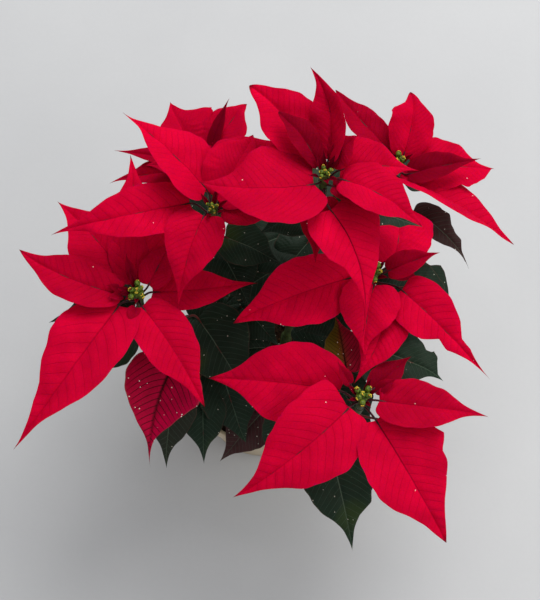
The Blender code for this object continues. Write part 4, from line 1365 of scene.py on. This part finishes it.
def outside():
    """The profile from the middle of the foot, over the foot's groove and up to the rim's top."""
    foot, wall, edge, top = POT_FOOT_RADIUS, SHOULDER_RADIUS, RIM_FOOT_RADIUS, POT_TOP_RADIUS
    line = [(AXIS, 0.0), (FOOT_GROOVE_IN - 0.4, 0.0), (FOOT_GROOVE_IN + 1, FOOT_RECESS)]
    line += [(FOOT_GROOVE_OUT - 1, FOOT_RECESS), (FOOT_GROOVE_OUT, 0.0)]
    line += [(foot - 1.2, 0.0), (foot - 0.3, 0.35), (foot, 1.2)]
    rise = np.linspace(2.5, SHOULDER - 2.5, 10)
    line += [(foot + (wall - foot) * z / SHOULDER, z) for z in rise]
    line += [(wall, SHOULDER - 1.2), (wall + 0.5, SHOULDER - 0.3), (wall + 1.6, SHOULDER)]
    line += [(edge - 0.7, SHOULDER + 0.1), (edge, SHOULDER + 0.9), (edge + 0.2, SHOULDER + 4)]
    line += [(top - 0.2, POT_HEIGHT - 3), (top, POT_HEIGHT - 1.2)]
    return line + [(top - 0.5, POT_HEIGHT - 0.25), (top - 1.5, POT_HEIGHT)]


def inside():
    """The profile from the rim's top down the inner wall to the middle of the floor."""
    lip, corner = inner_radius(POT_HEIGHT), inner_radius(POT_BOTTOM)
    line = [(lip + 1.2, POT_HEIGHT), (lip + 0.3, POT_HEIGHT - 0.4)]
    fall = np.linspace(POT_HEIGHT - 1.5, POT_BOTTOM + 2, 8)
    line += [(inner_radius(z), z) for z in fall]
    return line + [(corner - 0.8, POT_BOTTOM + 0.2), (corner - 3, POT_BOTTOM), (AXIS, POT_BOTTOM)]


print("points in the pot's profile:", len(outside() + inside()))

# %% [markdown]
# Four round drain holes are cut through the floor, as in the frame. A Boolean modifier does the
# cutting, and its result is kept as the pot's mesh, so that no modifier is left on the piece.

# %% Turn the pot and cut its drain holes
DRAIN_RADIUS = 5.0
DRAIN_CIRCLE = 30.0
DRAIN_COUNT = 4
DRILL_LENGTH = 12
DRILL_START = -3
DRILL_SIDES = 40


def drain_drills():
    """Round bars as one object, where the frame has its drain holes."""
    bar = [(DRAIN_RADIUS, 0), (DRAIN_RADIUS, DRILL_LENGTH)]
    bar = lathe(bar, POT_PLASTIC, DRILL_SIDES)
    faces, points = [], []
    for i in range(DRAIN_COUNT):
        place = polar(DRAIN_CIRCLE, 360 * i / DRAIN_COUNT, DRILL_START)
        start = i * len(bar.points)
        faces.extend(tuple(start + corner for corner in face) for face in bar.faces)
        points.extend((placed(bar, place).points * MM).tolist())
    mesh = bpy.data.meshes.new("drain_drills")
    mesh.from_pydata(points, [], faces)
    return bpy.data.objects.new("drain_drills", mesh)


def cut(obj, tool):
    """Cuts the tool's shape out of the object, and keeps the result as its mesh."""
    bpy.context.scene.collection.objects.link(tool)
    change = obj.modifiers.new("drains", "BOOLEAN")
    change.operation = "DIFFERENCE"
    change.object = tool
    bpy.context.view_layer.update()
    made = obj.evaluated_get(bpy.context.evaluated_depsgraph_get())
    mesh = bpy.data.meshes.new_from_object(made)
    obj.modifiers.clear()
    obj.data = mesh
    bpy.data.objects.remove(tool)


turned_pot = lathe(outside() + inside(), POT_PLASTIC, POT_SIDES)
round_pot = piece("round_pot", [turned_pot], "pot_plastic", "pot")
cut(round_pot, drain_drills())
print("pot faces after the drain holes:", len(round_pot.data.polygons))

# %% [markdown]
# ## The potting mix
#
# The plant grows in peat with bark crumbs and some white perlite. A smooth mound would look
# like chocolate. So the mound is a fine net of rings, pushed up and down by noise, and loose
# crumbs, chips of bark and grains of perlite lie half sunk in it, set out by a seeded draw. All
# three are rough and pitted, each at the size of its own grain.

# %% Peat, bark and perlite
POTTING_MIX_IOR = 1.45


def crumbly(name, dark, light, grain, roughness, depth):
    """Dull broken matter in two colours: rough all over, with pits at the grain's size."""
    material, tree, shader = new_material(name, roughness, POTTING_MIX_IOR)
    where = add_node(tree, "TexCoord").outputs["Object"]
    size = pattern_scale(grain)
    lumps = add_node(tree, "TexNoise", {"Vector": where, "Scale": size, "Detail": 6.0})
    sharp = add_node(tree, "MapRange", {0: lumps, 1: 0.35, 2: 0.68, 3: 0.0, 4: 1.0})
    paint(tree, shader, dark, [(sharp, 1.0, light)])
    bump = add_node(tree, "Bump", {"Strength": 0.8, "Distance": depth * MM, "Height": lumps})
    tree.links.new(bump.outputs[0], shader.inputs["Normal"])
    shader.inputs["Specular IOR Level"].default_value = 0.15
    return material


PEAT = crumbly("moist_peat", "#1B120C", "#3A281B", 2.0, 0.95, 0.6)
BARK = crumbly("bark_chip", "#3A2617", "#6B4A2E", 1.5, 0.85, 0.4)
PERLITE = crumbly("perlite_grain", "#BDB8AC", "#E8E5DC", 0.8, 0.9, 0.3)
print("potting mix: peat, bark and perlite")

# %% The mound
MOUND_RINGS = 60
MOUND_SIDES = 150
SOIL_BUMP = 1.1
SOIL_FINE = 1.5
SOIL_LUMP = 7


def mound_height(x, y):
    """The top of the potting mix at a place, as in the frame, with finer lumps over it."""
    share = np.hypot(x, y) / inner_radius(SOIL_LEVEL)
    wave = math.sin(0.31 * x + 1.1) * math.cos(0.27 * y) + math.sin(0.53 * (x + y))
    fine = noise.fractal(Vector((x / SOIL_LUMP, y / SOIL_LUMP, 3.1)), 1.0, 2.0, 4)
    return SOIL_LEVEL + SOIL_MOUND * (1 - share * share) + SOIL_BUMP * wave + SOIL_FINE * fine


def mound():
    """The potting mix as one closed form that fills the pot."""
    radius = inner_radius(SOIL_LEVEL) - FIT_GAP
    bottom = POT_BOTTOM + FIT_GAP
    angles = np.linspace(0, TURN, MOUND_SIDES, endpoint=False)
    rings = []
    for z in np.linspace(bottom, SOIL_LEVEL - 4, 6):
        wide = inner_radius(z) - FIT_GAP
        rings.append([(wide * math.cos(a), wide * math.sin(a), z) for a in angles])
    for share in np.linspace(1, 0.01, MOUND_RINGS):
        row = [(share * radius * math.cos(a), share * radius * math.sin(a)) for a in angles]
        rings.append([(x, y, mound_height(x, y)) for x, y in row])
    ends = ([0, 0, bottom], [0, 0, mound_height(0, 0)])
    return skin(np.array(rings), PEAT, ends)


print("height of the mound's middle:", round(mound_height(0, 0), 1), "mm")

# %% Heap the potting mix
LUMP_FORM = [(0.45, -0.85), (0.85, -0.45), (1.0, 0.05), (0.8, 0.55), (0.4, 0.9)]
LUMP_SIDES = 7
DENT = 0.25
RIM_CLEAR = 4
STEM_CLEAR = 3.5
# Loose bits: how many, of what, from which to which size, how flat, and the seed of the draw.
LOOSE_BITS = (
    (620, PEAT, (0.9, 2.2), 0.8, 11),
    (90, BARK, (1.6, 3.6), 0.35, 12),
    (110, PERLITE, (0.7, 1.5), 0.9, 13),
)


def lump(look, size, flat, place, draw):
    """A broken lump: a small turned form, dented by noise, stretched and tumbled."""
    shape = lathe(LUMP_FORM, look, LUMP_SIDES)
    dents = 1 + DENT * draw.standard_normal((len(shape.points), 1))
    stretch = np.array([1.0, draw.uniform(0.6, 1.0), flat])
    spin = np.linalg.qr(draw.standard_normal((3, 3)))[0]
    spin = spin * np.sign(np.linalg.det(spin))
    points = (shape.points * np.clip(dents, 0.6, 1.4) * stretch * size) @ spin.T + place
    return shape._replace(points=points)


def scattered(count, look, sizes, flat, seed):
    """Lumps over the mound, clear of the stems: a range of sizes, and a share for their height."""
    draw = np.random.default_rng(seed)
    found = []
    while len(found) < count:
        far = (inner_radius(SOIL_LEVEL) - RIM_CLEAR) * math.sqrt(draw.uniform())
        spot = polar(far, draw.uniform(0, 360))
        if all(math.dist(spot[:2], stem.foot) > STEM_RADIUS + STEM_CLEAR for stem in STEMS):
            spot[2] = mound_height(spot[0], spot[1]) + 0.2
            found.append(lump(look, draw.uniform(*sizes), flat, spot, draw))
    return found


bits = [bit for row in LOOSE_BITS for bit in scattered(*row)]
piece("potting_mix", [mound(), *bits], "potting_mix", "soil")

# %% [markdown]
# ## Floor, light and camera
#
# The plant stands on a pale floor like smooth concrete: floated by hand, so it is cloudy and matt,
# with fine pits. A plain background colour would be quicker, but it would catch no shadows, and the
# shadows of the leaves show how high they stand.

# %% Floated concrete floor
CONCRETE_IOR = 1.5
CONCRETE_ROUGHNESS = 0.8
CONCRETE_CLOUDS = pattern_scale(200)
PITS = pattern_scale(4.55)
FLOOR_SIZE = 24.0


def floated_concrete():
    """Pale floated concrete: cloudy, matt, with fine pits."""
    material, tree, shader = new_material("floated_concrete", CONCRETE_ROUGHNESS, CONCRETE_IOR)
    where = add_node(tree, "TexCoord").outputs["Object"]
    cloud = add_node(tree, "TexNoise", {"Vector": where, "Scale": CONCRETE_CLOUDS, "Detail": 6.0})
    pits = add_node(tree, "TexNoise", {"Vector": where, "Scale": PITS, "Detail": 4.0})
    paint(tree, shader, "#BCBDBF", [(cloud, 1.0, "#CACBCC"), (pits, 0.06, "#8F9090")])
    bump = add_node(tree, "Bump", {"Strength": 0.1, "Distance": 0.5 * MM, "Height": pits})
    tree.links.new(bump.outputs[0], shader.inputs["Normal"])
    shader.inputs["Specular IOR Level"].default_value = 0.2
    return material


bpy.ops.mesh.primitive_plane_add(size=FLOOR_SIZE)
floor = bpy.context.object
floor.name = "studio_floor"
floor.data.materials.append(floated_concrete())
print("floor", floor.dimensions.x, "m across")

# %% [markdown]
# The light is soft, as beside a large window. One large lamp stands high behind the plant and a
# little to the right, so shadows fall forward and to the left. A weaker lamp at the right opens
# them, and an even sky fills the rest. A single small lamp would give hard black shadows instead.

# %% Light
LIGHT_TARGET = (0.0, 0.0, 0.2)
SKY_STRENGTH = 0.54


def soft_lamp(name, place, size, power, colour):
    """A square lamp that faces the plant."""
    light = bpy.data.lights.new(name, "AREA")
    light.size = size
    light.energy = power
    light.color = linear(colour)[:3]
    lamp = bpy.data.objects.new(name, light)
    lamp.location = place
    aim = Vector(LIGHT_TARGET) - Vector(place)
    lamp.rotation_euler = aim.to_track_quat("-Z", "Y").to_euler()
    bpy.context.scene.collection.objects.link(lamp)


soft_lamp("window_light", (0.55, 1.3, 2.3), size=1.5, power=51.0, colour="#FFFEFC")
soft_lamp("fill_light", (1.5, -0.4, 1.4), size=1.4, power=11.0, colour="#FFFCF8")
world = bpy.data.worlds.new("even_sky")
bpy.context.scene.world = world
world.use_nodes = True
sky = world.node_tree.nodes["Background"]
sky.inputs["Color"].default_value = linear("#F4F6F9")
sky.inputs["Strength"].default_value = SKY_STRENGTH
bpy.context.scene.view_settings.view_transform = "Standard"
print("lamps:", len(bpy.data.lights), "and an even sky")

# %% [markdown]
# The camera looks down on the star of bracts at 70 degrees, from the front and from a little over a
# metre away. Its lens is shifted sideways by just over a hundredth of the picture, which frames
# the plant without turning the camera.

# %% Camera
CAMERA_ELEVATION = 70.0
CAMERA_DISTANCE = 1.15
CAMERA_TARGET = (0.0, 0.0, 0.30)
CAMERA_LENS = 86.2
CAMERA_SHIFT = 8 / 600

high = math.radians(CAMERA_ELEVATION)
view = Vector((0.0, -math.cos(high), math.sin(high))) * CAMERA_DISTANCE
lens = bpy.data.cameras.new("photo_camera")
lens.lens = CAMERA_LENS
lens.shift_x = CAMERA_SHIFT
camera = bpy.data.objects.new("photo_camera", lens)
camera.location = Vector(CAMERA_TARGET) + view
camera.rotation_euler = (-view).to_track_quat("-Z", "Y").to_euler()
bpy.context.scene.collection.objects.link(camera)
bpy.context.scene.camera = camera
print("camera at", [round(c, 3) for c in camera.location])
